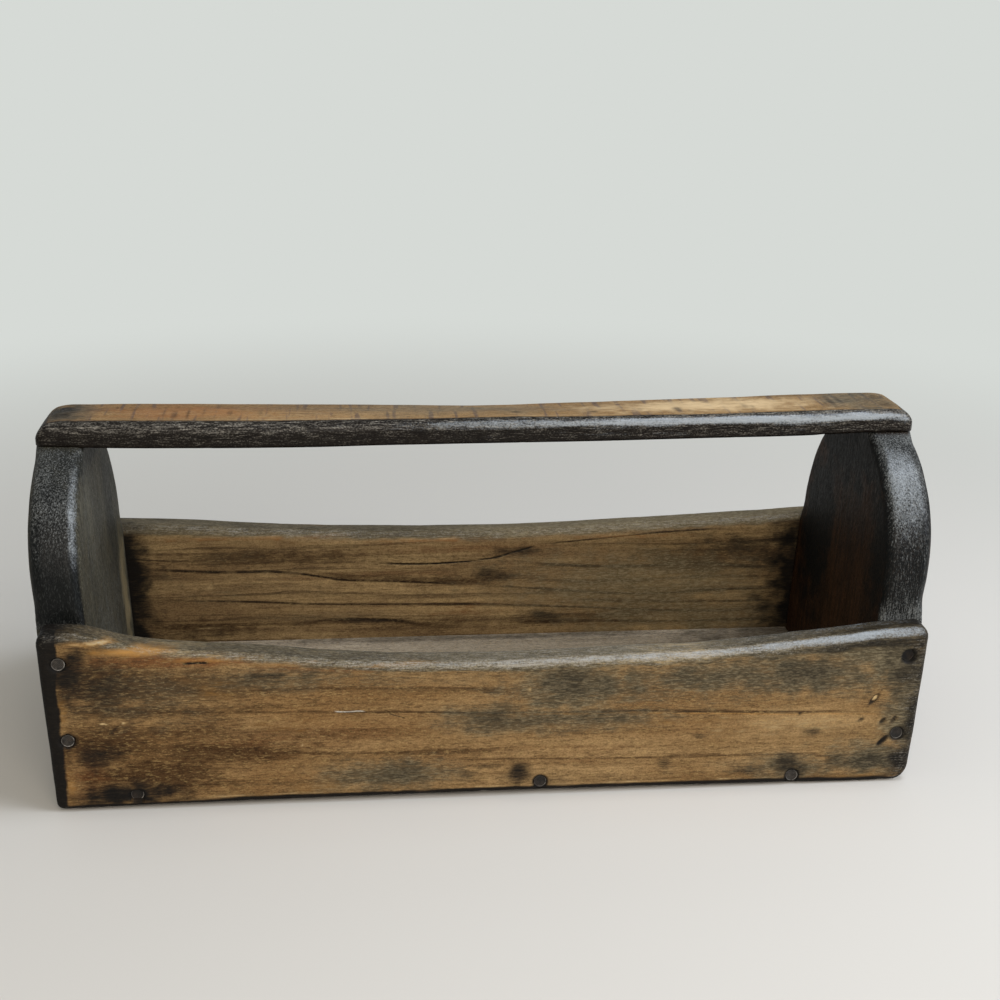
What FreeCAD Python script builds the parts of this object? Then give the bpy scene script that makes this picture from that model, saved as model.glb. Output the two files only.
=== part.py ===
import FreeCAD, Part
import math
import os

# Open wooden tool tote: two side boards nailed over two round-topped ends, a bottom between all four,
# and a flat handle nailed across the tops of the ends. Millimetres; X along the length, Y to the back,
# Z up. The origin is the middle of the underside.

# Box
base_length = 455.4  # over the outer faces of the ends, at the base
inner_width = 147.3  # between the inner faces of the sides
end_splay = 2.3  # degrees by which each end leans outwards
side_thickness = 17.9
end_thickness = 24.2
end_proud = 2.0  # the ends stand out past the ends of the side boards
bottom_thickness = 18.2

# Height of each side at its ends, and at mid-length where its top edge is worn lowest
front_left_height = 99.0
front_middle_height = 79.5
front_right_height = 90.5
back_left_height = 95.5
back_middle_height = 88.0
back_right_height = 96.0

# Handle, a flat bar that bows a little below its seats on the ends
left_seat_height = 174.8
right_seat_height = 176.9
handle_width = 45.0
handle_thickness = 12.7
handle_overhang = 0.5  # past the outer face of each end
handle_bow = 2.2  # drop of the underside at mid-length
handle_wear = 1.6  # depth of the hollow that hands have worn in its top at mid-length
bow_inset = 0.5  # the bow starts this far inside the ends
seat_setback = 2.5  # from the handle's front or back face to the flat top of the end under it

# Worn edges
side_edge_radius = 4.0  # round the outer face of each side
side_corner_radius = 6.0  # corners of each side, seen from the front
side_inner_radius = 5.0  # inner top edge of each side
end_edge_radius = 6.5  # round the exposed edges of each end
handle_edge_radius = 5.5
handle_corner_radius = 8.0  # corners of the handle, seen from above

# Wire nails, two inches long
nail_length = 50.8
shank_diameter = 2.87
head_diameter = 6.75
head_thickness = 1.2
head_bevel = 0.35
point_length = 4.5
shank_fit = 0.03  # between the shank and its hole, all round
point_gap = 0.3  # beyond the point, in the hole's blind end
pit_gap = 0.6  # between a sunk head and the pit round it
shallow_sink = 0.9  # depth of a head's top under the wood
deep_sink = 2.6

# Where the nails are
upper_nail_drop = 16.0  # upper corner nails, below the top edge of their side at that end
lower_left_nail_height = 40.5
lower_right_nail_height = 29.0
bottom_nail_drop = 1.5  # nails into the edge of the bottom, below the middle of its thickness
right_nail_drop = 3.6  # the one of them nearest to the right end
left_nail_inset = 19.0  # from an end's inner face to the first bottom nail
right_nail_inset = 43.0
middle_nail_shift = 24.0  # middle bottom nail, to the right of mid-length
end_nail_spacing = 50.0  # between the two nails that hold each end to the bottom
handle_nail_spacing = 16.0  # between the two nails at each end of the handle

# Derived sizes
half_base = base_length / 2
half_inner = inner_width / 2
outer_width = inner_width + 2 * side_thickness
slope = math.tan(math.radians(end_splay))
end_run = end_thickness / math.cos(math.radians(end_splay))  # thickness of an end along X
bottom_nail_height = bottom_thickness / 2 - bottom_nail_drop
right_nail_height = bottom_thickness / 2 - right_nail_drop
seat_left_x = -(half_base + slope * left_seat_height)
seat_right_x = half_base + slope * right_seat_height
seats = FreeCAD.Vector(seat_right_x - seat_left_x, 0, right_seat_height - left_seat_height)
seat_middle = FreeCAD.Vector(seat_left_x, 0, left_seat_height) + seats / 2
half_seats = seats.Length / 2
half_handle = half_seats + handle_overhang
head_radius = head_diameter / 2
shank_radius = shank_diameter / 2
beyond = 2 * (base_length + outer_width + right_seat_height)  # reaches past every solid
parallel = 1e-6  # sine of the largest angle between two directions that count as the same

left, right = -1, 1
front, back = -1, 1
ends = ((left, "left"), (right, "right"))
sides = ((front, "front"), (back, "back"))
end_heights = {  # of a side's top edge, at an end
    (front, left): front_left_height,
    (front, right): front_right_height,
    (back, left): back_left_height,
    (back, right): back_right_height,
}
middle_heights = {front: front_middle_height, back: back_middle_height}
seat_heights = {left: left_seat_height, right: right_seat_height}

origin = FreeCAD.Vector(0, 0, 0)
along_x = FreeCAD.Vector(1, 0, 0)
along_y = FreeCAD.Vector(0, 1, 0)
along_z = FreeCAD.Vector(0, 0, 1)
seat = FreeCAD.Placement(seat_middle, FreeCAD.Rotation(along_x, seats))  # the handle lies on this plane


def outer_face_x(z):
    # Distance from mid-length to the outer face of either end at a height
    return half_base + slope * z


def side_end_x(z):
    # Distance from mid-length to either end of a side board at a height
    return outer_face_x(z) - end_proud


def flat_face(*pieces):
    # Face inside a chain of lines, of two points each, and arcs, of three points each
    edges = []
    for piece in pieces:
        points = [FreeCAD.Vector(*p) for p in piece]
        curve = Part.LineSegment(*points) if len(points) == 2 else Part.Arc(*points)
        edges.append(curve.toShape())
    return Part.Face(Part.Wire(edges))


def edges_along(shape, direction):
    # Straight edges that run parallel to a direction
    straight = [edge for edge in shape.Edges if isinstance(edge.Curve, Part.Line)]
    return [edge for edge in straight if edge.Curve.Direction.cross(direction).Length < parallel]


def is_arc(edge):
    return isinstance(edge.Curve, Part.Circle)


def rim(shape, normal):
    # Edges round the face that lies furthest out in a direction
    outermost = max(shape.Faces, key=lambda face: face.CenterOfMass.dot(normal))
    return outermost.OuterWire.Edges


def on_seat(shape):
    # Lays a shape, drawn about the middle of a level handle's underside, on the tops of the ends
    shape.Placement = seat.multiply(shape.Placement)
    return shape


def side_board(face_side):
    left_height = end_heights[face_side, left]
    right_height = end_heights[face_side, right]
    lower_left = (-side_end_x(0), 0, 0)
    lower_right = (side_end_x(0), 0, 0)
    upper_left = (-side_end_x(left_height), 0, left_height)
    upper_right = (side_end_x(right_height), 0, right_height)
    outline = flat_face(
        (lower_left, lower_right),
        (lower_right, upper_right),
        (upper_right, (0, 0, middle_heights[face_side]), upper_left),
        (upper_left, lower_left),
    )
    board = outline.extrude(along_y * side_thickness * face_side)
    inner_arcs = [edge for edge in rim(board, along_y * -face_side) if is_arc(edge)]
    board = board.makeFillet(side_inner_radius, inner_arcs)
    board = board.makeFillet(side_corner_radius, edges_along(board, along_y))
    board = board.makeFillet(side_edge_radius, rim(board, along_y * face_side))
    board.translate(along_y * half_inner * face_side)
    return board


def below_seats():
    # Everything under the plane of the handle's underside, as a block
    block = Part.makeBox(beyond, beyond, beyond, FreeCAD.Vector(-beyond / 2, -beyond / 2, -beyond))
    return on_seat(block)


def end_blank(end):
    # One end, square at its base and half round at the top, before it is cut level above and below
    seat_half_width = handle_width / 2 - seat_setback
    centre_height = seat_heights[end] - math.sqrt(half_inner**2 - seat_half_width**2)
    lower_front = (0, -half_inner, -end_thickness)
    lower_back = (0, half_inner, -end_thickness)
    shoulder_front = (0, -half_inner, centre_height)
    shoulder_back = (0, half_inner, centre_height)
    outline = flat_face(
        (lower_front, lower_back),
        (lower_back, shoulder_back),
        (shoulder_back, (0, 0, centre_height + half_inner), shoulder_front),
        (shoulder_front, lower_front),
    )
    return outline.extrude(along_x * end_thickness * -end)


def leaning(blank, end):
    # Leans an upright end outwards and stands it at its place along the base
    blank.rotate(origin, along_y, end * end_splay)
    blank.translate(along_x * half_base * end)
    return blank


def end_board(end):
    # The exposed edges are worn round; those that the side boards cover are still square
    worn = end_blank(end)
    worn = leaning(worn.makeFillet(end_edge_radius, [edge for edge in worn.Edges if is_arc(edge)]), end)
    square = leaning(end_blank(end), end)
    for face_side in (front, back):
        corner = FreeCAD.Vector(-beyond / 2, min(0, face_side * beyond), 0)
        covered = Part.makeBox(beyond, beyond, end_heights[face_side, end], corner)
        worn = worn.fuse(square.common(covered))
    above_base = Part.makeBox(beyond, beyond, beyond, FreeCAD.Vector(-beyond / 2, -beyond / 2, 0))
    return worn.common(above_base).common(below_seats()).removeSplitter()


def bottom_board():
    lower = half_base - end_run
    upper = outer_face_x(bottom_thickness) - end_run
    corners = [
        (-lower, -half_inner, 0),
        (lower, -half_inner, 0),
        (upper, -half_inner, bottom_thickness),
        (-upper, -half_inner, bottom_thickness),
    ]
    outline = flat_face(*zip(corners, corners[1:] + corners[:1]))
    return outline.extrude(along_y * inner_width)


def handle_bar():
    # Drawn level with the middle of its underside at the origin, then laid on the tops of the ends
    half_bow = half_seats - end_run - bow_inset
    top_dip = handle_thickness - handle_bow - handle_wear
    outline = flat_face(
        ((-half_handle, 0, 0), (-half_bow, 0, 0)),
        ((-half_bow, 0, 0), (0, 0, -handle_bow), (half_bow, 0, 0)),
        ((half_bow, 0, 0), (half_handle, 0, 0)),
        ((half_handle, 0, 0), (half_handle, 0, handle_thickness)),
        ((half_handle, 0, handle_thickness), (0, 0, top_dip), (-half_handle, 0, handle_thickness)),
        ((-half_handle, 0, handle_thickness), (-half_handle, 0, 0)),
    )
    bar = outline.extrude(along_y * handle_width)
    bar.translate(along_y * -handle_width / 2)
    bar = bar.makeFillet(handle_corner_radius, edges_along(bar, along_z))
    bar = bar.makeFillet(handle_edge_radius, rim(bar, along_z))
    return on_seat(bar)


def turned(*profile):
    # Solid turned about Z from (radius, height) points that begin and end on the axis
    corners = [FreeCAD.Vector(radius, 0, height) for radius, height in profile]
    face = Part.Face(Part.makePolygon(corners + corners[:1]))
    return face.revolve(origin, along_z, 360)


def nail():
    # Head's top at the origin, point straight down
    return turned(
        (0, 0),
        (head_radius - head_bevel, 0),
        (head_radius, -head_bevel),
        (head_radius, -head_thickness),
        (shank_radius, -head_thickness),
        (shank_radius, point_length - nail_length),
        (0, -nail_length),
    )


def nail_hole(sink):
    # What one nail leaves in the wood: the pit over its head, and the hole round its shank
    pit_radius = head_radius + pit_gap
    hole_radius = shank_radius + shank_fit
    return turned(
        (0, 2 * sink),
        (pit_radius, 2 * sink),
        (pit_radius, -head_thickness),
        (hole_radius, -head_thickness),
        (hole_radius, -nail_length - point_gap),
        (0, -nail_length - point_gap),
    )


def drive(boards, nails, name, entry, direction, through, into, sink=shallow_sink):
    # Sinks a nail at a point on the wood's face, and cuts its hole in both boards that it joins
    place = FreeCAD.Placement(entry + direction * sink, FreeCAD.Rotation(-along_z, direction))
    nails[name] = nail()
    nails[name].Placement = place
    hole = nail_hole(sink)
    hole.Placement = place
    for board in (through, into):
        boards[board] = boards[board].cut(hole)


def nail_sides(boards, nails):
    deep = ("front_nail_bottom_left", "front_nail_upper_right", "back_nail_bottom_right")
    low_heights = {left: lower_left_nail_height, right: lower_right_nail_height}
    bottom_half = outer_face_x(bottom_nail_height) - end_run
    bottom_marks = {
        "left": (left_nail_inset - bottom_half, bottom_nail_height),
        "middle": (middle_nail_shift, bottom_nail_height),
        "right": (bottom_half - right_nail_inset, right_nail_height),
    }
    for face_side, side_name in sides:
        marks = {}
        for spot, mark in bottom_marks.items():
            marks[f"bottom_{spot}"] = (*mark, "bottom_board")
        for end, end_name in ends:
            upper_height = end_heights[face_side, end] - upper_nail_drop
            for level, height in (("upper", upper_height), ("lower", low_heights[end])):
                x = end * (outer_face_x(height) - end_run / 2)
                marks[f"{level}_{end_name}"] = (x, height, f"{end_name}_end")
        for spot, (x, z, into) in marks.items():
            name = f"{side_name}_nail_{spot}"
            entry = FreeCAD.Vector(x, face_side * outer_width / 2, z)
            sink = deep_sink if name in deep else shallow_sink
            drive(boards, nails, name, entry, along_y * -face_side, f"{side_name}_side", into, sink)


def nail_ends(boards, nails):
    for end, end_name in ends:
        inwards = FreeCAD.Rotation(along_y, end * end_splay).multVec(along_x * -end)
        x = end * outer_face_x(bottom_nail_height)
        for face_side, side_name in sides:
            entry = FreeCAD.Vector(x, face_side * end_nail_spacing / 2, bottom_nail_height)
            name = f"{end_name}_end_nail_{side_name}"
            drive(boards, nails, name, entry, inwards, f"{end_name}_end", "bottom_board")


def nail_handle(boards, nails):
    # The top of the handle is an arc, so each head starts from its height there
    dish = handle_bow + handle_wear
    dish_radius = (half_handle**2 + dish**2) / (2 * dish)
    x = half_seats - end_run / 2
    top = handle_thickness - dish + dish_radius - math.sqrt(dish_radius**2 - x**2)
    down = seat.Rotation.multVec(-along_z)
    for end, end_name in ends:
        for face_side, side_name in sides:
            entry = seat.multVec(FreeCAD.Vector(end * x, face_side * handle_nail_spacing / 2, top))
            name = f"handle_nail_{end_name}_{side_name}"
            drive(boards, nails, name, entry, down, "handle", f"{end_name}_end")


boards = {
    "front_side": side_board(front),
    "back_side": side_board(back),
    "left_end": end_board(left),
    "right_end": end_board(right),
    "bottom_board": bottom_board(),
    "handle": handle_bar(),
}
nails = {}
nail_sides(boards, nails)
nail_ends(boards, nails)
nail_handle(boards, nails)

os.makedirs("parts", exist_ok=True)
for name, shape in {**boards, **nails}.items():
    shape.exportStep(f"parts/{name}.step")
    print(name, len(shape.Solids), round(shape.Volume, 1))
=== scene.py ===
import math

import bpy
import numpy as np
from mathutils import Matrix, Vector, noise


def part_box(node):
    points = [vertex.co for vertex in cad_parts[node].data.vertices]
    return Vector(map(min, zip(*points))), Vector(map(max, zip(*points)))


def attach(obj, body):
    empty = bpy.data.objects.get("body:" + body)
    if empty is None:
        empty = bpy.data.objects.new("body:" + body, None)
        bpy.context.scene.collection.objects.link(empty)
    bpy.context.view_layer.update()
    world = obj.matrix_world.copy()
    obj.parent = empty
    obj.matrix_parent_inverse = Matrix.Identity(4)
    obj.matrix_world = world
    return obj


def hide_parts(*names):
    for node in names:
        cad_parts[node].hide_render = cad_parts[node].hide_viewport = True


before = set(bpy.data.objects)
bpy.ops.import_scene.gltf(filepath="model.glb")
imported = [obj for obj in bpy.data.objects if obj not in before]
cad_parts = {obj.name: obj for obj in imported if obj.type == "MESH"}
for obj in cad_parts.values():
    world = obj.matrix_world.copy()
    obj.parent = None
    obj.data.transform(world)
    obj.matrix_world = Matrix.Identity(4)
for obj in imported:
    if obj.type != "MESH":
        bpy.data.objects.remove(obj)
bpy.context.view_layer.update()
mm = 0.001

print("scene: packed frame loaded,", len(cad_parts), "nodes")


# Camera, floor and lamps

view = {
    "eye": (-79.2 * mm, -782.4 * mm, 410.8 * mm),
    "pitch": 19.4,  # degrees down
    "yaw": 6.5,  # degrees to the right of straight ahead
    "roll": 1.2,  # degrees, the right side of the picture up
    "lens": 54.0,  # mm, on a 36 mm sensor
}


def makeCamera():
    pitch, yaw, roll = (math.radians(view[k]) for k in ("pitch", "yaw", "roll"))
    ahead = Vector((math.sin(yaw) * math.cos(pitch), math.cos(yaw) * math.cos(pitch), -math.sin(pitch)))
    level = Vector((math.cos(yaw), -math.sin(yaw), 0))
    upright = level.cross(ahead)
    right = level * math.cos(roll) + upright * math.sin(roll)
    up = upright * math.cos(roll) - level * math.sin(roll)
    data = bpy.data.cameras.new("camera")
    data.lens = view["lens"]
    data.sensor_width = 36
    camera = bpy.data.objects.new("camera", data)
    turn = Matrix((right, up, -ahead)).transposed()
    camera.matrix_world = Matrix.Translation(view["eye"]) @ turn.to_4x4()
    bpy.context.scene.collection.objects.link(camera)
    bpy.context.scene.camera = camera


def linear(hexCode):
    channels = [int(hexCode[i : i + 2], 16) / 255 for i in (1, 3, 5)]
    bent = [c / 12.92 if c <= 0.04045 else ((c + 0.055) / 1.055) ** 2.4 for c in channels]
    return (*bent, 1.0)


def addNode(tree, kind, settings, out=0):
    # Adds a node and gives one of its outputs. A setting is a property, or an input by its name or number
    # that takes a constant, a hex colour or another node's output
    node = tree.nodes.new("ShaderNode" + kind)
    for key, value in settings.items():
        if isinstance(value, bpy.types.NodeSocket):
            tree.links.new(value, node.inputs[key])
        elif isinstance(key, str) and key not in node.inputs:
            setattr(node, key, value)
        else:
            node.inputs[key].default_value = linear(value) if isinstance(value, str) else value
    return node.outputs[out] if len(node.outputs) else None


def newMaterial(name):
    material = bpy.data.materials.new(name)
    material.use_nodes = True
    material.node_tree.nodes.clear()
    return material, material.node_tree


# Settings that many nodes share
plus = {"operation": "ADD"}
minus = {"operation": "SUBTRACT"}
times = {"operation": "MULTIPLY"}
softly = {"interpolation_type": "SMOOTHSTEP"}
inColour = {"data_type": "RGBA"}  # a mix then takes its colours at 6 and 7 and gives output 2

studio = {
    "floorColour": "#cecac1",
    "wallColour": "#d6dad6",
    "floorHalf": 70.0,  # metres
    "nearFloor": 0.30,  # metres from the tote where the floor starts to fade into the backdrop's tone
    "farFloor": 1.10,
    "worldColour": "#e4e8ea",
    "worldStrength": 0.5,
    "lamps": {
        "window": {"at": (1.25, -0.60, 0.80), "size": 0.9, "power": 15.0, "colour": "#eaf1ff"},
        "overhead": {"at": (0.42, -0.12, 1.20), "size": 0.45, "power": 6.0, "colour": "#e4eeff"},
        "room": {"at": (0.05, -1.60, 1.00), "size": 1.5, "power": 17.0, "colour": "#fff0de"},
    },
}


def makeStudio():
    half = studio["floorHalf"]
    mesh = bpy.data.meshes.new("floor")
    corners = [(-half, -half, 0), (half, -half, 0), (half, half, 0), (-half, half, 0)]
    mesh.from_pydata(corners, [], [(0, 1, 2, 3)])
    floor = bpy.data.objects.new("floor", mesh)
    bpy.context.scene.collection.objects.link(floor)

    # Painted floor: matt emulsion, an even pale tone that takes soft shadows
    material, tree = newMaterial("paintedFloor")
    shader = addNode(tree, "BsdfPrincipled", {"Base Color": studio["floorColour"], "Roughness": 0.7})
    # Far from the tote the camera sees an even backdrop tone in place of the unlit floor
    glow = addNode(tree, "Emission", {"Color": studio["wallColour"]})
    place = addNode(tree, "TexCoord", {}, "Object")
    away = addNode(tree, "VectorMath", {"operation": "LENGTH", 0: place}, "Value")
    limits = {"From Min": studio["nearFloor"], "From Max": studio["farFloor"]}
    fade = addNode(tree, "MapRange", {**softly, "Value": away, **limits})
    toCamera = addNode(tree, "LightPath", {}, "Is Camera Ray")
    seen = addNode(tree, "Math", {**times, 0: fade, 1: toCamera})
    mix = addNode(tree, "MixShader", {0: seen, 1: shader, 2: glow})
    addNode(tree, "OutputMaterial", {"Surface": mix})
    mesh.materials.append(material)

    world = bpy.data.worlds.new("studio")
    world.use_nodes = True
    sky = world.node_tree
    sky.nodes.clear()
    lit = {"Color": studio["worldColour"], "Strength": studio["worldStrength"]}
    ambient = addNode(sky, "Background", lit)
    seenSky = addNode(sky, "Background", {"Color": studio["wallColour"], "Strength": 1.0})
    toCamera = addNode(sky, "LightPath", {}, "Is Camera Ray")
    both = addNode(sky, "MixShader", {0: toCamera, 1: ambient, 2: seenSky})
    addNode(sky, "OutputWorld", {"Surface": both})
    bpy.context.scene.world = world

    for name, lamp in studio["lamps"].items():
        data = bpy.data.lights.new(name, "AREA")
        data.shape = "DISK"
        data.size = lamp["size"]
        data.energy = lamp["power"]
        data.color = linear(lamp["colour"])[:3]
        light = bpy.data.objects.new(name, data)
        light.location = lamp["at"]
        light.rotation_euler = (-Vector(lamp["at"])).to_track_quat("-Z", "Y").to_euler()
        bpy.context.scene.collection.objects.link(light)


makeCamera()
makeStudio()
bpy.context.scene.view_settings.view_transform = "Standard"
print("scene: camera, floor and lamps are in place")


# Mesh helpers: a board is the skin of a block, cut by grid lines and then bent to shape


def gridLines(length, step, edge, marks=(), fineStep=0.8, reach=5.0):
    # Lines from 0 to length: even steps, finer within reach of each mark, and bunched for the round edges
    ease = [edge * (1 - math.tan(math.radians(a))) for a in (0, 9, 18, 27, 36)]
    fine = [m + d for m in marks for d in np.arange(-reach, reach + 0.01, fineStep)]
    fine = [f for f in fine if edge < f < length - edge]
    coarse = np.linspace(edge, length - edge, max(2, round((length - 2 * edge) / step)))
    coarse = [c for c in coarse if all(abs(c - m) > reach + step / 2 for m in marks)]
    lines = sorted({0.0, length, *ease, *(length - e for e in ease), *coarse, *fine})
    least = 0.25  # millimetres between two lines
    kept = [lines[0]]
    for line in lines[1:]:
        if line - kept[-1] > least or line == length:
            kept.append(line)
    if length - kept[-2] < least:
        kept.pop(-2)
    return np.array(kept)


def blockSkin(xs, ys, zs):
    # Closed skin of a block: its points, and four-sided faces that look outwards
    shape = (len(xs), len(ys), len(zs))
    skin = np.ones(shape, bool)
    skin[1:-1, 1:-1, 1:-1] = False
    ids = np.full(shape, -1)
    ids[skin] = np.arange(skin.sum())
    i, j, k = np.nonzero(skin)
    sheets = [(ids[0], -1), (ids[-1], 1), (ids[:, 0], 1), (ids[:, -1], -1)]
    sheets += [(ids[:, :, 0], -1), (ids[:, :, -1], 1)]
    faces = []
    for sheet, turn in sheets:
        corners = [sheet[:-1, :-1], sheet[1:, :-1], sheet[1:, 1:], sheet[:-1, 1:]]
        faces.append(np.stack(corners, -1).reshape(-1, 4)[:, ::turn])
    return xs[i], ys[j], zs[k], np.concatenate(faces)


def squareToRound(a, b, radius):
    # a and b are distances from two surfaces that meet at an edge; near it they are moved onto an arc
    awayA = radius - a
    awayB = radius - b
    near = (awayA > 0) & (awayB > 0)
    reach = np.maximum(np.hypot(awayA, awayB), 1e-9)
    share = np.where(near, np.maximum(awayA, awayB) / reach, 1.0)
    return np.where(near, radius - awayA * share, a), np.where(near, radius - awayB * share, b)


def smooth(low, high, value):
    t = np.clip((value - low) / (high - low), 0, 1)
    return t * t * (3 - 2 * t)


def lumps(points, size, seed, octaves=2):
    # Smooth noise, about -1 to 1, whose lumps are size millimetres across
    shift = Vector((17.3 * seed, 5.1 * seed, 11.7 * seed))
    scaled = points / size
    return np.array([noise.fractal(Vector(p) + shift, 0.8, 2.1, octaves) for p in scaled])


def curveThrough(stations, values, at):
    # Smooth curve through a few stations
    stations = np.asarray(stations, float)
    values = np.asarray(values, float)
    slopes = np.gradient(values, stations)
    i = np.clip(np.searchsorted(stations, at) - 1, 0, len(stations) - 2)
    gap = stations[i + 1] - stations[i]
    t = (at - stations[i]) / gap
    rise = (2 * t**3 - 3 * t**2 + 1) * values[i] + (3 * t**2 - 2 * t**3) * values[i + 1]
    return rise + gap * ((t**3 - 2 * t**2 + t) * slopes[i] + (t**3 - t**2) * slopes[i + 1])


def meshNormals(points, faces):
    a, b, c, d = (points[faces[:, n]] for n in range(4))
    faceNormals = np.cross(c - a, d - b)
    normals = np.zeros_like(points)
    for n in range(4):
        np.add.at(normals, faces[:, n], faceNormals)
    return normals / np.maximum(np.linalg.norm(normals, axis=1, keepdims=True), 1e-12)


def paint(mesh, marks):
    # Values at the mesh's points, which the finish reads
    for name, values in marks.items():
        attribute = mesh.attributes.new(name, "FLOAT", "POINT")
        attribute.data.foreach_set("value", values.astype(np.float32))


def makePiece(name, points, faces, material, node, marks):
    # points are millimetres in the tote's frame, faces have four sides
    mesh = bpy.data.meshes.new(name)
    mesh.vertices.add(len(points))
    mesh.vertices.foreach_set("co", (points * mm).astype(np.float32).ravel())
    mesh.loops.add(faces.size)
    mesh.loops.foreach_set("vertex_index", faces.astype(np.int32).ravel())
    mesh.polygons.add(len(faces))
    mesh.polygons.foreach_set("loop_start", np.arange(0, faces.size, 4, dtype=np.int32))
    mesh.polygons.foreach_set("use_smooth", np.ones(len(faces), bool))
    mesh.update(calc_edges=True)
    mesh.validate()
    paint(mesh, marks)
    mesh.materials.append(material)
    piece = bpy.data.objects.new(name, mesh)
    bpy.context.scene.collection.objects.link(piece)
    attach(piece, "root")
    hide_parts(node)


def sizeOf(node):
    low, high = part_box(node)
    return np.array(low) / mm, np.array(high) / mm


def corner(u, v, size, radii):
    # Rounds the outline's corners. Gives the moved u and v, the distance b from the rim,
    # and the way inwards
    bu = np.minimum(u, size[0] - u)
    bv = np.minimum(v, size[1] - v)
    wayU = np.where(u < size[0] / 2, 1.0, -1.0)
    wayV = np.where(v < size[1] / 2, 1.0, -1.0)
    low = np.where(wayU > 0, radii["lowLeft"], radii["lowRight"])
    high = np.where(wayU > 0, radii["highLeft"], radii["highRight"])
    radius = np.where(wayV > 0, low, high)
    du = radius - bu
    dv = radius - bv
    inside = (du > 0) & (dv > 0)
    reach = np.maximum(np.hypot(du, dv), 1e-9)
    share = np.maximum(du, dv) / reach
    newU = np.where(inside, u + wayU * du * (1 - share), u)
    newV = np.where(inside, v + wayV * dv * (1 - share), v)
    b = np.where(inside, radius - np.maximum(du, dv), np.minimum(bu, bv))
    inU = np.where(inside, wayU * du / reach, np.where(bu < bv, wayU, 0))
    inV = np.where(inside, wayV * dv / reach, np.where(bu < bv, 0, wayV))
    return newU, newV, b, inU, inV


def edgeAmount(a, b, fade):
    # 1 on the arris, falling to 0 at fade millimetres from it
    return 1 - smooth(0, fade, np.maximum(np.maximum(a, b), 0))


def patchDrift(across, up, seed, ragged=0.35):
    # How unevenly the rims of painted patches wander
    flat = np.stack([across, np.zeros(len(across)), up], 1)
    return lumps(flat, 9, seed, 3) * ragged


def spots(across, up, places, drift):
    # Soft uneven patches, each given as (across, up, half width, half height, strength)
    total = np.zeros(len(across))
    for x, z, rx, rz, strength in places:
        far = np.hypot((across - x) / rx, (up - z) / rz) + drift
        total = np.maximum(total, strength * (1 - smooth(0.15, 1.5, far)))
    return total


def roundPits(across, up, pits):
    # Moves the points nearest to each pit's rim onto its circle
    nearest = 0.42  # millimetres, about half a step of the fine grid
    for x, z, radius, depth in pits:
        far = np.maximum(np.hypot(across - x, up - z), 1e-6)
        share = np.where(np.abs(far - radius) < nearest, radius / far, 1.0)
        across = x + (across - x) * share
        up = z + (up - z) * share
    return across, up


def pitDepth(across, up, pits):
    # How deep each point sinks for the nails' pits, and how near it is to one
    depths = np.zeros(len(across))
    near = np.zeros(len(across))
    for x, z, radius, depth in pits:
        far = np.hypot(across - x, up - z)
        pit = depth * (1 - smooth(radius - 0.5, radius + 0.1, far))
        bruise = 0.3 * (1 - smooth(radius, radius + 1.6, far))
        depths = np.maximum.reduce([depths, pit, bruise])
        near = np.maximum(near, 1 - smooth(radius - 0.1, radius + 1.3, far))
    return depths, near


def wornDepth(points, board, arris=0.0, calm=1.0):
    # How far the worn surface lies below the flat one: low lumps along the grain, and chips on the arrises
    base, swing, stretch, sizeMm = board["rough"]
    depths = np.clip(base + swing * lumps(points * stretch, sizeMm, board["seed"] + 20, 3), 0, 0.5)
    deep, cut, stretch, sizeMm = board["chipped"]
    chips = np.maximum(lumps(points * stretch, sizeMm, board["seed"] + 40, 2) - cut, 0) * arris
    return depths * calm + deep * chips


def outwards(points, faces):
    # Turns the faces if the bending left them looking inwards
    a, b, c = (points[faces[:, n]] for n in range(3))
    volume = (a * np.cross(b, c)).sum()
    return faces if volume > 0 else faces[:, ::-1]


# Aged pine: softwood with wide growth rings, stained by oil and hands. To the eye it is a satin tan with
# darker ring lines and short fibres, near-black polished grime on worn edges and grey dusty weathering.

layers = ("grime", "stain", "weather", "bare", "gold", "warm")
paintedMarks = (*layers, "chatter", "dust", "rubAndSheen", "pit", "polish")


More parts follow.
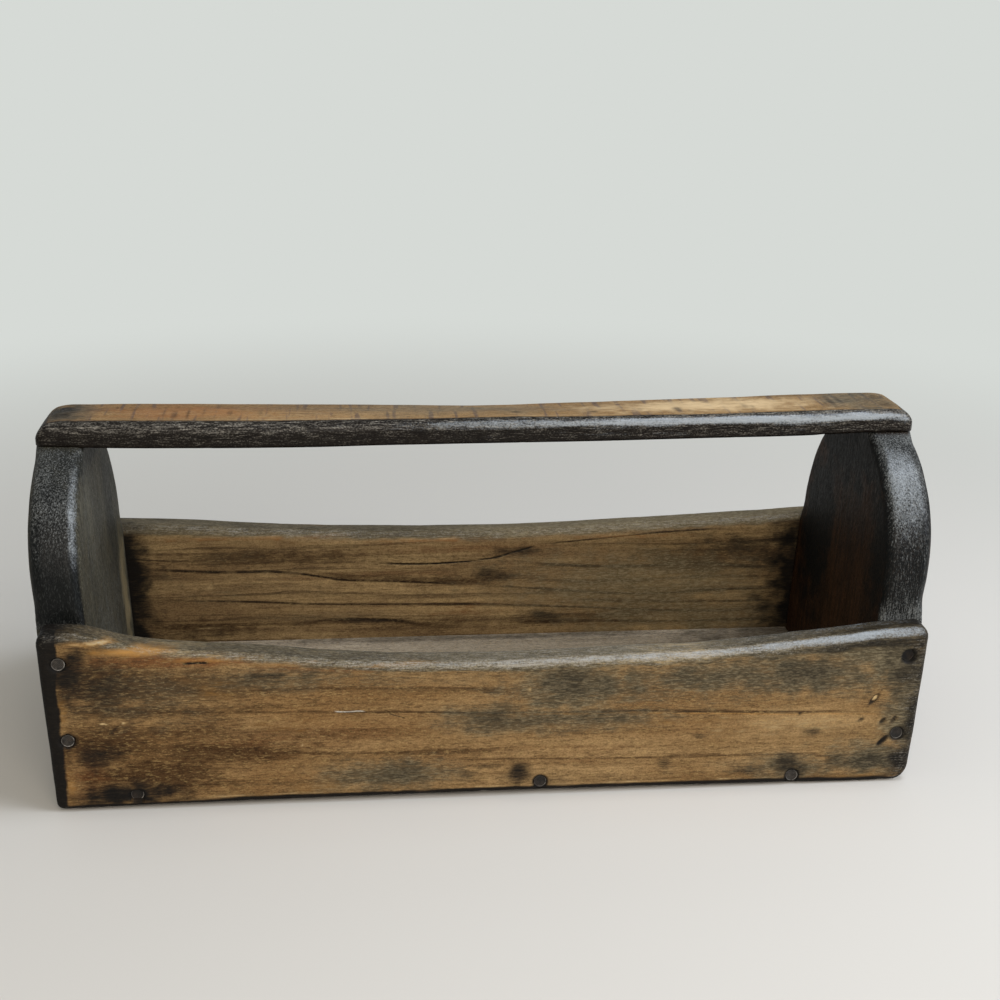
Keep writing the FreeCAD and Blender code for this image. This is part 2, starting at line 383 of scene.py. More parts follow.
def agedPine(finish):
    material, tree = newMaterial(finish["name"])
    place = addNode(tree, "TexCoord", {}, "Object")

    # Noises with patches that follow the grain: millimetres along it and across it, detail and roughness.
    # Real fibres and pores are too fine to show, so theirs are drawn about 1 mm across
    patchSizes = {
        "wave": (finish["waveLong"], finish["waveCross"], 1.5, 0.55),
        "fibre": (14, 1.0, 3, 0.65),
        "streak": (85, 3.2, 3, 0.6),
        "speck": (finish["speckLong"], 0.85, 2, 0.7),
        "fleck": (finish["speckLong"] * 0.8, 0.7, 2, 0.7),
        "sandy": (1.0, 0.8, 2, 0.7),
        "mottle": (11, 4.5, 3, 0.6),
        "blotch": (100, 24, 3, 0.55),
        "cloudy": (30, 11, 4, 0.6),
        "lint": (8, 0.8, 3, 0.7),
        "crumbs": (1.1, 0.7, 2, 0.7),
    }
    noisy = {}
    for name, (longMm, crossMm, detail, rough) in patchSizes.items():
        scale = [1 / (crossMm * mm)] * 3
        scale["xyz".index(finish["grain"])] = 1 / (longMm * mm)
        stretched = addNode(tree, "Mapping", {"Scale": scale, "Vector": place})
        settings = {"Scale": 1.0, "Detail": detail, "Roughness": rough, "Vector": stretched}
        noisy[name] = addNode(tree, "TexNoise", settings)
    mark = {name: addNode(tree, "Attribute", {"attribute_name": name}, "Fac") for name in paintedMarks}

    def uneven(amount, **strengths):
        # An amount broken up by noises, each with its own strength
        for name, strength in strengths.items():
            centred = addNode(tree, "Math", {**minus, 0: noisy[name], 1: 0.5})
            share = addNode(tree, "Math", {**times, 0: centred, 1: strength})
            amount = addNode(tree, "Math", {**plus, 0: amount, 1: share})
        return amount

    def layer(under, over, amount, low, high, most=1.0, within=None, way="MIX"):
        # Lays a colour over another where the amount is past low, and wholly where it is past high
        amount = addNode(tree, "MapRange", {**softly, "Value": amount, "From Min": low, "From Max": high})
        if within is not None:
            amount = addNode(tree, "Math", {**times, 0: amount, 1: within})
        amount = addNode(tree, "Math", {**times, 0: amount, 1: most})
        return addNode(tree, "Mix", {**inColour, "blend_type": way, 0: amount, 6: under, 7: over}, 2)

    # Growth rings stand round a pith that runs beside the board, and they waver
    wave = {"operation": "SCALE", "Scale": finish["waveMm"] * mm}
    offset = addNode(tree, "VectorMath", {**wave, 0: noisy["wave"]})
    moved = addNode(tree, "VectorMath", {**plus, 0: place, 1: offset})
    pith = [-c * mm for c in finish["pith"]]
    tilt = (0, math.radians(finish["tilt"]), 0)
    around = addNode(tree, "Mapping", {"Location": pith, "Rotation": tilt, "Vector": moved})
    ringSettings = {
        "wave_type": "RINGS",
        "rings_direction": finish["grain"].upper(),
        "wave_profile": "SAW",
        "Scale": 2 * math.pi / (20 * finish["ringMm"] * mm),  # at scale 1 a ring is 2 pi / 20 wide
        "Distortion": finish["ringRagged"],
        "Detail": 2.0,
        "Detail Scale": 1.2,
        "Vector": around,
    }
    rings = addNode(tree, "TexWave", ringSettings, "Fac")
    late = addNode(tree, "MapRange", {**softly, "Value": rings, "From Min": finish["lateFrom"]})
    colour = layer(finish["dark"], finish["light"], noisy["blotch"], 0.32, 0.68)
    colour = layer(colour, finish["mid"], noisy["streak"], 0.4, 0.64, finish["streaks"])
    colour = layer(colour, finish["line"], noisy["streak"], 0.25, 0.7, finish["lines"], late)
    colour = layer(colour, finish["mid"], noisy["mottle"], 0.45, 0.68, finish["mottled"])

    # Brown oil stains and warm places soak in along the grain
    stained = uneven(mark["stain"], streak=0.7, cloudy=0.6, speck=0.5)
    colour = layer(colour, finish["stain"], stained, 0.06, 1.0, 0.92)
    warmed = uneven(mark["warm"], streak=0.6, cloudy=0.5)
    colour = layer(colour, finish["warm"], warmed, 0.06, 1.0, 0.9)

    # Lines drawn along the board through given points in millimetres: growth lines go through it,
    # cracks and scratches are on its near face only
    curveMm = 100  # the height that a curve of 1 stands for
    cracks = 0.0
    across = addNode(tree, "SeparateXYZ", {0: place}, "X")
    through, up = across.node.outputs["Y"], across.node.outputs["Z"]
    faceEnds = {"From Min": (finish["middleY"] + 2) * mm, "From Max": (finish["middleY"] - 2) * mm}
    nearFace = addNode(tree, "MapRange", {**softly, "Value": through, **faceEnds})
    patchEnds = {"From Min": 0.3, "From Max": 0.55, "To Min": 0.55}
    patchy = addNode(tree, "MapRange", {**softly, "Value": noisy["mottle"], **patchEnds})
    for kind, wideMm, wanderMm, strength, line in finish["traces"]:
        start, end = line[0][0], line[-1][0]
        fade = (end - start) * 0.15
        wide = wideMm * mm
        along = addNode(tree, "MapRange", {"Value": across, "From Min": start * mm, "From Max": end * mm})
        height = addNode(tree, "FloatCurve", {"Value": along})
        handles = height.node.mapping.curves[0].points
        for n, (x, z) in enumerate(line):
            spot = ((x - start) / (end - start), z / curveMm)
            if n in (0, len(line) - 1):
                handles[0 if n < 1 else len(handles) - 1].location = spot
            else:
                handles.new(*spot)
        height.node.mapping.update()
        height = addNode(tree, "Math", {**times, 0: height, 1: curveMm * mm})
        height = uneven(height, streak=wanderMm * mm)
        away = addNode(tree, "Math", {**minus, 0: up, 1: height})
        away = addNode(tree, "Math", {"operation": "ABSOLUTE", 0: away})
        ink = addNode(tree, "MapRange", {**softly, "Value": away, "From Min": wide, "From Max": 0.2 * wide})
        for tip, full in ((start, start + fade), (end, end - fade)):
            tipEnds = {"From Min": tip * mm, "From Max": full * mm}
            tapered = addNode(tree, "MapRange", {**softly, "Value": across, **tipEnds})
            ink = addNode(tree, "Math", {**times, 0: ink, 1: tapered})
        ink = addNode(tree, "Math", {**times, 0: ink, 1: strength})
        if kind in ("crack", "scratch"):
            ink = addNode(tree, "Math", {**times, 0: ink, 1: nearFace})
        if kind == "crack":
            cracks = addNode(tree, "Math", {"operation": "MAXIMUM", 0: cracks, 1: ink})
        else:
            ink = addNode(tree, "Math", {**times, 0: ink, 1: patchy})
        colour = addNode(tree, "Mix", {**inColour, 0: ink, 6: colour, 7: finish[kind]}, 2)

    # Chatter of a blunt plane: dark marks across the board
    marked = addNode(tree, "Mapping", {"Scale": finish["chatterPerMetre"], "Vector": place})
    marked = addNode(tree, "TexNoise", {"Scale": 1.0, "Detail": 2.0, "Vector": marked})
    colour = layer(colour, finish["chatter"], marked, 0.54, 0.68, finish["chatterMost"], mark["chatter"])

    # Fine fibres and dark pores, with pale flecks between them
    colour = layer(colour, finish["fibre"], noisy["fibre"], 0.5, 0.74, finish["fibres"], way="MULTIPLY")
    colour = layer(colour, finish["pore"], noisy["speck"], 0.48, 0.64, finish["pores"], way="MULTIPLY")
    colour = layer(colour, finish["fleck"], noisy["fleck"], 0.53, 0.68, finish["flecks"])
    colour = layer(colour, finish["sand"], noisy["sandy"], 0.45, 0.6, finish["sandy"], way="MULTIPLY")

    # Dry grey weathering in clouds
    grey = layer(finish["weather"], finish["weatherPale"], noisy["fleck"], 0.42, 0.66)
    weathered = uneven(mark["weather"], cloudy=0.7, fibre=0.5, speck=0.3)
    colour = layer(colour, grey, weathered, 0.05, 1.05, finish["weatherMost"])

    # Places worn by hands, where gold or pale wood shows. Some are also painted light: thin lines on the
    # top arrises are a painted highlight, and the handle's top is paler where more light falls
    for name, low, high in (("gold", 0.15, 1.15), ("bare", 0.2, 0.95)):
        painted = addNode(tree, "MapRange", {**softly, "Value": mark[name], "From Max": 0.25})
        rubbedAndLit = uneven(mark[name], mottle=0.7, fibre=0.7, speck=0.7)
        colour = layer(colour, finish[name], rubbedAndLit, low, high, within=painted)

    # Grime soaks in as clouds, and fibres and pores hold it unevenly
    black = layer(finish["grime"], finish["grimePale"], noisy["fleck"], 0.5, 0.7)
    grimy = addNode(tree, "Math", {**plus, 0: mark["grime"], 1: finish["grimeAll"]})
    grimy = uneven(grimy, cloudy=0.6, fibre=0.35, speck=0.3)
    colour = layer(colour, black, grimy, 0.0, 0.95, finish["grimeMost"])

    # Dust sits on the grime in specks. The less of it is painted, the fewer of them show
    specks = addNode(tree, "Mix", {"Factor": 0.45, "A": noisy["lint"], "B": noisy["crumbs"]})
    fewer = addNode(tree, "Math", {**minus, 0: 1.0, 1: mark["dust"]})
    fewer = addNode(tree, "Math", {**times, 0: fewer, 1: 0.22})
    specks = addNode(tree, "Math", {**minus, 0: specks, 1: fewer})
    painted = addNode(tree, "MapRange", {**softly, "Value": mark["dust"], "From Max": 0.5})
    colour = layer(colour, finish["dust"], specks, 0.34, 0.64, finish["dustMost"], painted)

    # Hands have worn the proudest edges grey, and the same grey is a painted sheen on faces that look
    # towards the light: wear and a painted highlight
    painted = addNode(tree, "MapRange", {**softly, "Value": mark["rubAndSheen"], "From Max": 0.3})
    rubbedAndLit = uneven(mark["rubAndSheen"], mottle=0.6, fibre=0.5, sandy=1.3)
    colour = layer(colour, finish["rubAndSheen"], rubbedAndLit, 0.1, 1.0, finish["rubAndSheenMost"], painted)
    pitted = addNode(tree, "Math", {**times, 0: mark["pit"], 1: 0.92})
    colour = addNode(tree, "Mix", {**inColour, 0: pitted, 6: colour, 7: finish["grime"]}, 2)

    low, high = finish["roughness"]
    grit = addNode(tree, "Mix", {"Factor": 0.6, "A": noisy["fibre"], "B": noisy["speck"]})
    spread = {"From Min": 0.35, "From Max": 0.65, "To Min": low, "To Max": high}
    rough = addNode(tree, "MapRange", {**softly, "Value": grit, **spread})
    sheen = addNode(tree, "Math", {**times, 0: mark["polish"], 1: finish["polish"]})
    rough = addNode(tree, "Math", {**minus, 0: rough, 1: sheen})
    height = addNode(tree, "Mix", {"Factor": 0.55, "A": noisy["fibre"], "B": noisy["speck"]})
    for sunk, share in ((late, 0.15), (cracks, 2.5)):
        sunk = addNode(tree, "Math", {**times, 0: sunk, 1: share})
        height = addNode(tree, "Math", {**minus, 0: height, 1: sunk})
    bump = addNode(tree, "Bump", {"Strength": finish["bump"], "Distance": 0.4 * mm, "Height": height})
    surface = {"Base Color": colour, "Roughness": rough, "Normal": bump}
    shader = addNode(tree, "BsdfPrincipled", {"Specular IOR Level": finish["specular"], **surface})
    addNode(tree, "OutputMaterial", {"Surface": shader})
    return material


# Sizes are millimetres. Streaks, lines, pores and the like say how much of their colour shows at most
pineCommon = {
    "grain": "x",
    "tilt": 0,  # degrees
    "waveLong": 190,
    "waveCross": 60,
    "waveMm": 16,  # how far the rings waver
    "pith": (0, 60, -60),
    "ringMm": 15,
    "ringRagged": 0.8,
    "lateFrom": 0.62,  # where in each ring the dark late wood starts
    "light": "#9c7f56",
    "mid": "#735937",
    "dark": "#82633d",
    "line": "#3e2a15",
    "traces": [],
    "middleY": 0,  # halfway through the board
    "streaks": 0.45,
    "lines": 0.35,
    "mottled": 0.4,
    "fibres": 0.3,
    "fibre": "#6b5b44",  # the wood's colour is multiplied by this and the next two
    "pores": 0.4,
    "pore": "#62513a",
    "sandy": 0.3,
    "sand": "#6f6450",
    "fleck": "#b09461",
    "flecks": 0.36,
    "stain": "#432d16",
    "warm": "#734a28",
    "crack": "#120d08",
    "scratch": "#cfcabd",
    "chatter": "#5c4a42",
    "chatterMost": 0.0,
    "chatterPerMetre": (260, 22, 22),  # marks 4 mm along the board and 45 mm across it
    "weather": "#464030",
    "weatherPale": "#736a54",
    "weatherMost": 0.92,
    "grime": "#100e0c",
    "grimePale": "#191612",
    "grimeMost": 0.99,
    "grimeAll": 0.03,  # what every place has
    "gold": "#a67a40",
    "bare": "#c4aa7b",
    "dust": "#a39d90",
    "dustMost": 0.75,
    # grey of worn edges, and the colour of their painted highlight
    "rubAndSheen": "#9aa0a3",
    "rubAndSheenMost": 0.75,
    "roughness": (0.5, 0.74),
    "polish": 0.3,  # how much smoother the polished places are
    "specular": 0.12,  # dry dirty wood shines little
    "speckLong": 3.6,
    "bump": 0.55,
}


# The two long sides: old pine boards whose top edges are worn to a sag

leanAngle = math.radians(2.3)  # the ends and the boards' end grain splay outwards
lean = math.tan(leanAngle)
halfBase = 227.7  # to the outer face of each end, at the base
halfSide = 225.7  # to the end grain of the long sides, which stop short of that
boxHalfDepth = 91.55

bothSides = {
    "thick": 17.9,
    "flatHigh": 85.0,  # before the board is bent to its own top and foot
    "grid": ((2.0, 8.0), (0.9, 8.0), (1.4, 6.0)),  # along, up and through: step, and room for the arrises
    "outerFoot": 2.0,
    "innerArris": 0.8,
    "wavering": 0.22,  # the share by which an arris radius comes and goes
    "sheenWay": (0, -0.62, 0.785),  # faces that look this way get a painted sheen, a painted highlight
    "rough": (0.16, 0.14, (0.4, 1, 1.6), 30),  # mean and swing of the worn skin's depth, stretch, lump size
    "chipped": (1.1, 0.35, (0.6, 1, 1), 7),  # depth of the arrises' chips, how few they are, stretch, size
}

frontBoard = {
    **bothSides,
    "node": "front_side",
    "outward": -1,  # the way its outer face looks, in y
    "topX": (-230, -207, -181, -151, -126, -90, -49, 0, 56, 109, 153, 180, 201, 230),
    "topZ": (98.6, 98.4, 91.5, 87.6, 85.6, 81.6, 78.6, 77.7, 78.9, 80.2, 83.8, 86.5, 88.8, 90.2),
    "footX": (-230, -179, -50, 0, 51, 110, 165, 193, 230),
    "footZ": (1.1, 1.8, 2.5, 2.6, 2.3, 1.8, 1.2, 0.6, 0.9),
    "corners": {"lowLeft": 3.5, "lowRight": 8.5, "highLeft": 5.0, "highRight": 5.0},
    "outerTop": (5.0, 4.5, 5.0, 7.5),  # edge radius from left to right
    "innerTop": (2.5, 4.5, 5.0, 4.0),
    "outerEnds": 3.6,
    "seed": 1,
    "fineX": [428, 420, 436],  # a finer grid at the gouges, from the left end
    # The worn band along the top edge: each row follows the stations in x
    "topBand": {
        "x": (-228, -212, -190, -160, -110, -60, 0, 60, 100, 150, 195, 228),
        "wide": (6, 3, 2.5, 2.5, 3.5, 4.5, 5, 5.5, 5.5, 6.5, 8, 9),
        "weather": (0.5, 0.8, 0.9, 0.9, 1.0, 1.0, 1.1, 1.1, 1.0, 1.0, 0.95, 0.9),
        "grime": (0.8, 0.4, 0.1, 0.05, 0.15, 0.1, 0, 0, 0.05, 0.3, 0.45, 0.55),
        "dust": (0.3, 0.5, 0.5, 0.5, 0.55, 0.75, 1.0, 1.0, 0.9, 0.65, 0.4, 0.25),
        "stain": (0.5, 0.5, 0.5, 0.5, 0.2, 0, 0, 0, 0.2, 0.2, 0, 0),
        "bare": (0, 0, 0.15, 0.35, 0, 0, 0.1, 0.25, 0.42, 0.1, 0, 0),
        # painted highlight with wear: the grey sheen on faces that look along sheenWay
        "rubAndSheen": (0.2, 0, 0, 0, 0.1, 0.2, 0.3, 0.45, 0.5, 0.6, 0.85, 0.5),
        "polish": (0.2, 0.2, 0.1, 0.1, 0.3, 0.4, 0.5, 0.6, 0.7, 0.9, 1.0, 0.8),
    },
    "endBandMm": (7.2, 6.5),  # how far the black of the left and right ends reaches
    "endGrime": (1.3, 0.66),
    "endTaper": 4.0,  # the left band is this much wider at the top than at the foot
    "endSoft": 4.0,  # and the right band fades out over this
    "endDust": 0.35,  # specks of dust on the black of the right end
    # black added to the top band where its faces look away from sheenWay: a painted shade
    "topShade": 0.2,
    "grime": [
        (-211, 85, 9, 8, 0.75), (-216, 75, 11, 13, 0.8), (-203, 72, 24, 15, 0.5),
        (-204, 31, 19, 9, 0.62), (-186, 9, 27, 7, 0.95), (-182, 9, 12, 8, 1.0),
        (-114, 74, 16, 3.0, 0.55), (-120, 72, 30, 6, 0.3), (-3, 46, 17, 8, 0.42),
        (-4, 18, 12, 2.6, 0.5), (-12, 14, 6, 2.6, 0.55), (-58, 15, 38, 9, 0.22),
        (39, 66, 22, 12, 0.42), (45, 61, 30, 8, 0.3), (29, 44, 48, 6, 0.34), (66, 47, 24, 4, 0.25),
        (117, 68, 38, 9, 0.34), (166, 67, 38, 10, 0.42), (150, 62, 50, 5, 0.3),
        (12.5, 14, 8.5, 7.5, 0.85), (30, 8, 10, 5, 0.4), (224, 66, 22, 26, 0.55),
        (226, 40, 8, 26, 0.8), (222, 12, 12, 14, 0.8), (202, 13, 26, 8, 0.42),
        (186, 14, 12, 6, 0.45), (159, 12, 10, 8, 0.65), (170, 32, 6, 2.4, 0.6),
        (109, 31, 5, 2, 0.5), (90, 16, 5, 3, 0.55), (134, 10, 12, 3, 0.45),
        (162, 43, 1.5, 1.2, 0.9),
    ],
    "stain": [
        (-195, 70, 44, 20, 1.0), (-160, 72, 60, 14, 0.75), (-190, 57, 50, 7, 0.8),
        (-150, 60, 60, 7, 0.4), (-143, 31, 58, 7, 0.9), (-178, 19, 46, 12, 1.0),
        (-200, 38, 36, 18, 0.9), (-160, 45, 60, 10, 0.6), (-100, 40, 60, 6, 0.35),
        (-60, 22, 60, 6, 0.3), (60, 24, 90, 4, 0.3), (30, 34, 60, 4, 0.25),
    ],
    "weather": [
        (-58, 15, 48, 12, 0.75), (-110, 72, 46, 9, 0.7), (-40, 70, 60, 8, 0.35),
        (42, 63, 44, 18, 0.95), (32, 44, 66, 9, 0.85), (117, 67, 56, 13, 0.95),
        (166, 66, 54, 14, 1.0), (80, 60, 100, 14, 0.5), (-3, 46, 28, 12, 0.8),
        (206, 14, 38, 12, 0.95), (160, 12, 28, 11, 0.75), (222, 50, 16, 50, 1.0),
        (214, 76, 30, 22, 1.2), (196, 77, 38, 8, 0.95), (-185, 66, 50, 22, 0.45),
        (130, 12, 40, 6, 0.3),
    ],
    # The thin bare and gold lines on the top's outer arris, at z 77 to 94, are worn wood and also a painted
    # highlight on the round edge
    "bare": [
        (165, 37, 60, 12, 0.34), (193, 80.5, 14, 1.0, 0.6), (150, 77, 30, 1.2, 0.4),
        (-203, 94, 12, 0.9, 0.8), (17, 62, 2, 2, 0.5), (-199, 50, 2.5, 0.6, 1.0),
        (-189, 50, 1.5, 0.8, 1.0), (-99.5, 34.3, 0.9, 0.9, 1.0),
    ],
    "gold": [
        (-201, 94, 17, 1.5, 0.8), (-180, 89, 26, 2.6, 0.85), (-145, 83.5, 24, 2.0, 0.6),
        (-108, 80, 30, 1.6, 0.5), (-64, 77.5, 40, 1.2, 0.5), (-219, 55, 4, 14, 0.42),
        (-217, 15, 4, 14, 0.45), (-141, 67, 14, 8, 0.4), (-92, 10, 20, 6, 0.35),
        (-100, 46, 50, 6, 0.25), (199, 3.5, 24, 1.6, 0.7), (60, 40, 120, 2.5, 0.25),
        (180, 43, 36, 4, 0.3),
    ],
    "warm": [
        (-150, 84, 66, 5, 0.95), (-80, 78, 66, 3.5, 0.85), (-90, 40, 90, 14, 0.3),
        (-210, 20, 16, 16, 0.4), (20, 24, 100, 10, 0.3), (120, 36, 70, 8, 0.2),
    ],
    # Gouges near the right end: across, up, half length, half width, turn in degrees and depth
    "dents": [
        (202, 50, 5.0, 1.5, 52, 1.0), (196, 38, 2.2, 1.3, 30, 0.5), (208, 37, 2.6, 1.4, 50, 0.8),
        (214, 37.5, 3.0, 1.3, 62, 0.8), (209, 25, 5.0, 1.6, 48, 0.9),
        (-194, 46, 4.0, 0.8, 42, 0.3),
    ],
    "chips": [(202.6, 50.6, 2.4, 0.9, 52)],  # pale wood in the deepest gouge: as above, without the depth
    "inside": {"weather": [(0, 20, 240, 60, 0.4)], "stain": [(0, 40, 240, 50, 0.4)]},
}

backBoard = {
    **bothSides,
    "node": "back_side",
    "outward": 1,
    "topX": (-230, -193, -164, -134, -103, -73, -42, 0, 51, 83, 114, 146, 179, 198, 230),
    "topZ": (95.9, 94.6, 93.2, 91.1, 89.2, 87.9, 87.2, 86.9, 87.4, 88.8, 90.2, 91.5, 93.2, 94.2, 95.6),
    "footX": (-230, -100, 60, 230),
    "footZ": (0.3, 0.9, 0.6, 0.2),
    "corners": {"lowLeft": 4.0, "lowRight": 5.0, "highLeft": 5.0, "highRight": 5.0},
    "outerTop": (4.0, 4.5, 4.5, 4.5),
    "innerTop": (5.5, 6.5, 7.5, 5.0),
    "outerEnds": 3.5,
    "seed": 2,
    "fineX": [],
    "topBand": {
        "x": (-228, -195, -150, -100, -40, 0, 50, 110, 160, 228),
        "wide": (6, 5, 4.5, 4, 4, 4.5, 4.5, 4, 4, 4),
        "weather": (0.9, 1.0, 1.0, 1.0, 1.0, 1.0, 1.0, 1.0, 1.0, 0.9),
        "grime": (0.6, 0.45, 0.35, 0.4, 0.4, 0.3, 0.15, 0.1, 0.15, 0.35),
        "dust": (0.35, 0.4, 0.5, 0.5, 0.4, 0.45, 0.45, 0.5, 0.5, 0.45),
        "stain": (0.2, 0.3, 0.4, 0.4, 0.4, 0.4, 0.4, 0.5, 0.4, 0.3),
        "bare": (0, 0, 0, 0, 0, 0, 0, 0, 0, 0),
        # painted highlight with wear: the grey sheen on faces that look along sheenWay
        "rubAndSheen": (0.1, 0.15, 0.2, 0.2, 0.15, 0.1, 0.1, 0.1, 0.2, 0.2),
        "polish": (0.2, 0.3, 0.3, 0.3, 0.3, 0.3, 0.2, 0.2, 0.2, 0.2),
    },
    "endBandMm": (7.0, 7.0),
    "endGrime": (1.1, 1.1),
    "endTaper": 0.0,
    "endSoft": 1.0,
    "endDust": 0.0,
    "topShade": 0.0,
    "grime": [
        (-190, 60, 30, 30, 0.5), (60, 40, 40, 10, 0.4), (-40, 70, 40, 9, 0.4),
        (190, 20, 30, 14, 0.6), (-210, 12, 24, 10, 0.8), (120, 66, 30, 10, 0.4),
        (0, 6, 60, 5, 0.4),
    ],
    "stain": [(-180, 40, 50, 30, 0.5), (180, 60, 50, 30, 0.5), (0, 30, 80, 5, 0.4), (-60, 52, 70, 4, 0.5)],
    "weather": [(0, 60, 120, 16, 0.45), (-120, 24, 60, 12, 0.4), (150, 40, 50, 12, 0.5)],
    "bare": [(-212, 60, 1.4, 0.8, 1.0), (96, 30, 3, 0.8, 0.9)],
    # (40, 84) and (-120, 88) lie on the top's outer arris: worn wood and also a painted highlight
    "gold": [(40, 84, 60, 1.8, 0.6), (-120, 88, 50, 1.6, 0.5), (214, 20, 5, 10, 0.5)],
    "warm": [(-100, 30, 60, 14, 0.5), (120, 60, 60, 12, 0.4)],
    "dents": [(-60, 40, 4, 1.2, 30, 0.6), (150, 62, 5, 1.3, -40, 0.7)],
    "chips": [],
    "inside": {
        "grime": [
            (-209, 50, 18, 80, 1.0), (-192, 62, 14, 8, 0.4), (-170, 22, 40, 5, 0.35),
            (222, 50, 38, 90, 1.0), (180, 74, 34, 9, 0.45), (14, 58, 14, 5, 0.6),
            (48, 30, 16, 4, 0.5), (-64, 29, 20, 2, 0.6), (30, 74, 20, 3, 0.5),
            (184, 16, 34, 7, 0.25),
        ],
        "stain": [
            (-120, 72, 90, 7, 0.7), (-40, 70, 70, 6, 0.5), (150, 70, 54, 11, 0.8),
            (150, 61, 34, 5, 0.9), (0, 56, 60, 4, 0.6), (-20, 26, 60, 6, 0.6),
            (-170, 26, 50, 8, 0.7), (60, 28, 60, 5, 0.6), (-150, 54, 40, 4, 0.3),
        ],
        "weather": [
            (110, 50, 100, 30, 0.75), (140, 28, 90, 18, 0.75), (-150, 60, 60, 20, 0.25),
            (-80, 34, 60, 5, 0.3),
        ],
        # the gold and bare lines at z 82 to 88 lie on the top's inner arris: worn wood and also a painted
        # highlight
        "gold": [
            (-130, 85.5, 80, 1.8, 0.5), (-30, 82, 80, 1.8, 0.5), (90, 82, 60, 1.6, 0.5),
            (0, 35, 60, 6, 0.25),
        ],
        "bare": [
            (-130, 86.5, 80, 0.9, 0.45), (-30, 83, 60, 0.9, 0.4), (-158, 54, 3, 4, 0.5),
            (-161, 27, 12, 1.6, 0.35), (-47, 55.2, 0.7, 0.7, 1.0),
        ],
        "warm": [(0, 77, 80, 6, 0.4), (-60, 60, 90, 5, 0.3), (0, 36, 60, 8, 0.3)],
    },
}

pitRadius = 3.85
pitBelow = 1.4  # how far the pit goes on below the nail's head


def nailPits(nodes):
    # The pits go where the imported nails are: across, up, radius and depth of each
    pits = []
    for node in nodes:
        low, high = sizeOf(node)
        middle = (low + high) / 2
        sunk = boxHalfDepth - np.abs((low[1], high[1])).max()
        pits.append((middle[0], middle[2], pitRadius, sunk + pitBelow))
    return pits


def slanted(across, up, x, z, turn):
    # Distances from a point, along and across a direction given in degrees
    turn = math.radians(turn)
    along = (across - x) * math.cos(turn) + (up - z) * math.sin(turn)
    beside = (up - z) * math.cos(turn) - (across - x) * math.sin(turn)
    return along, beside


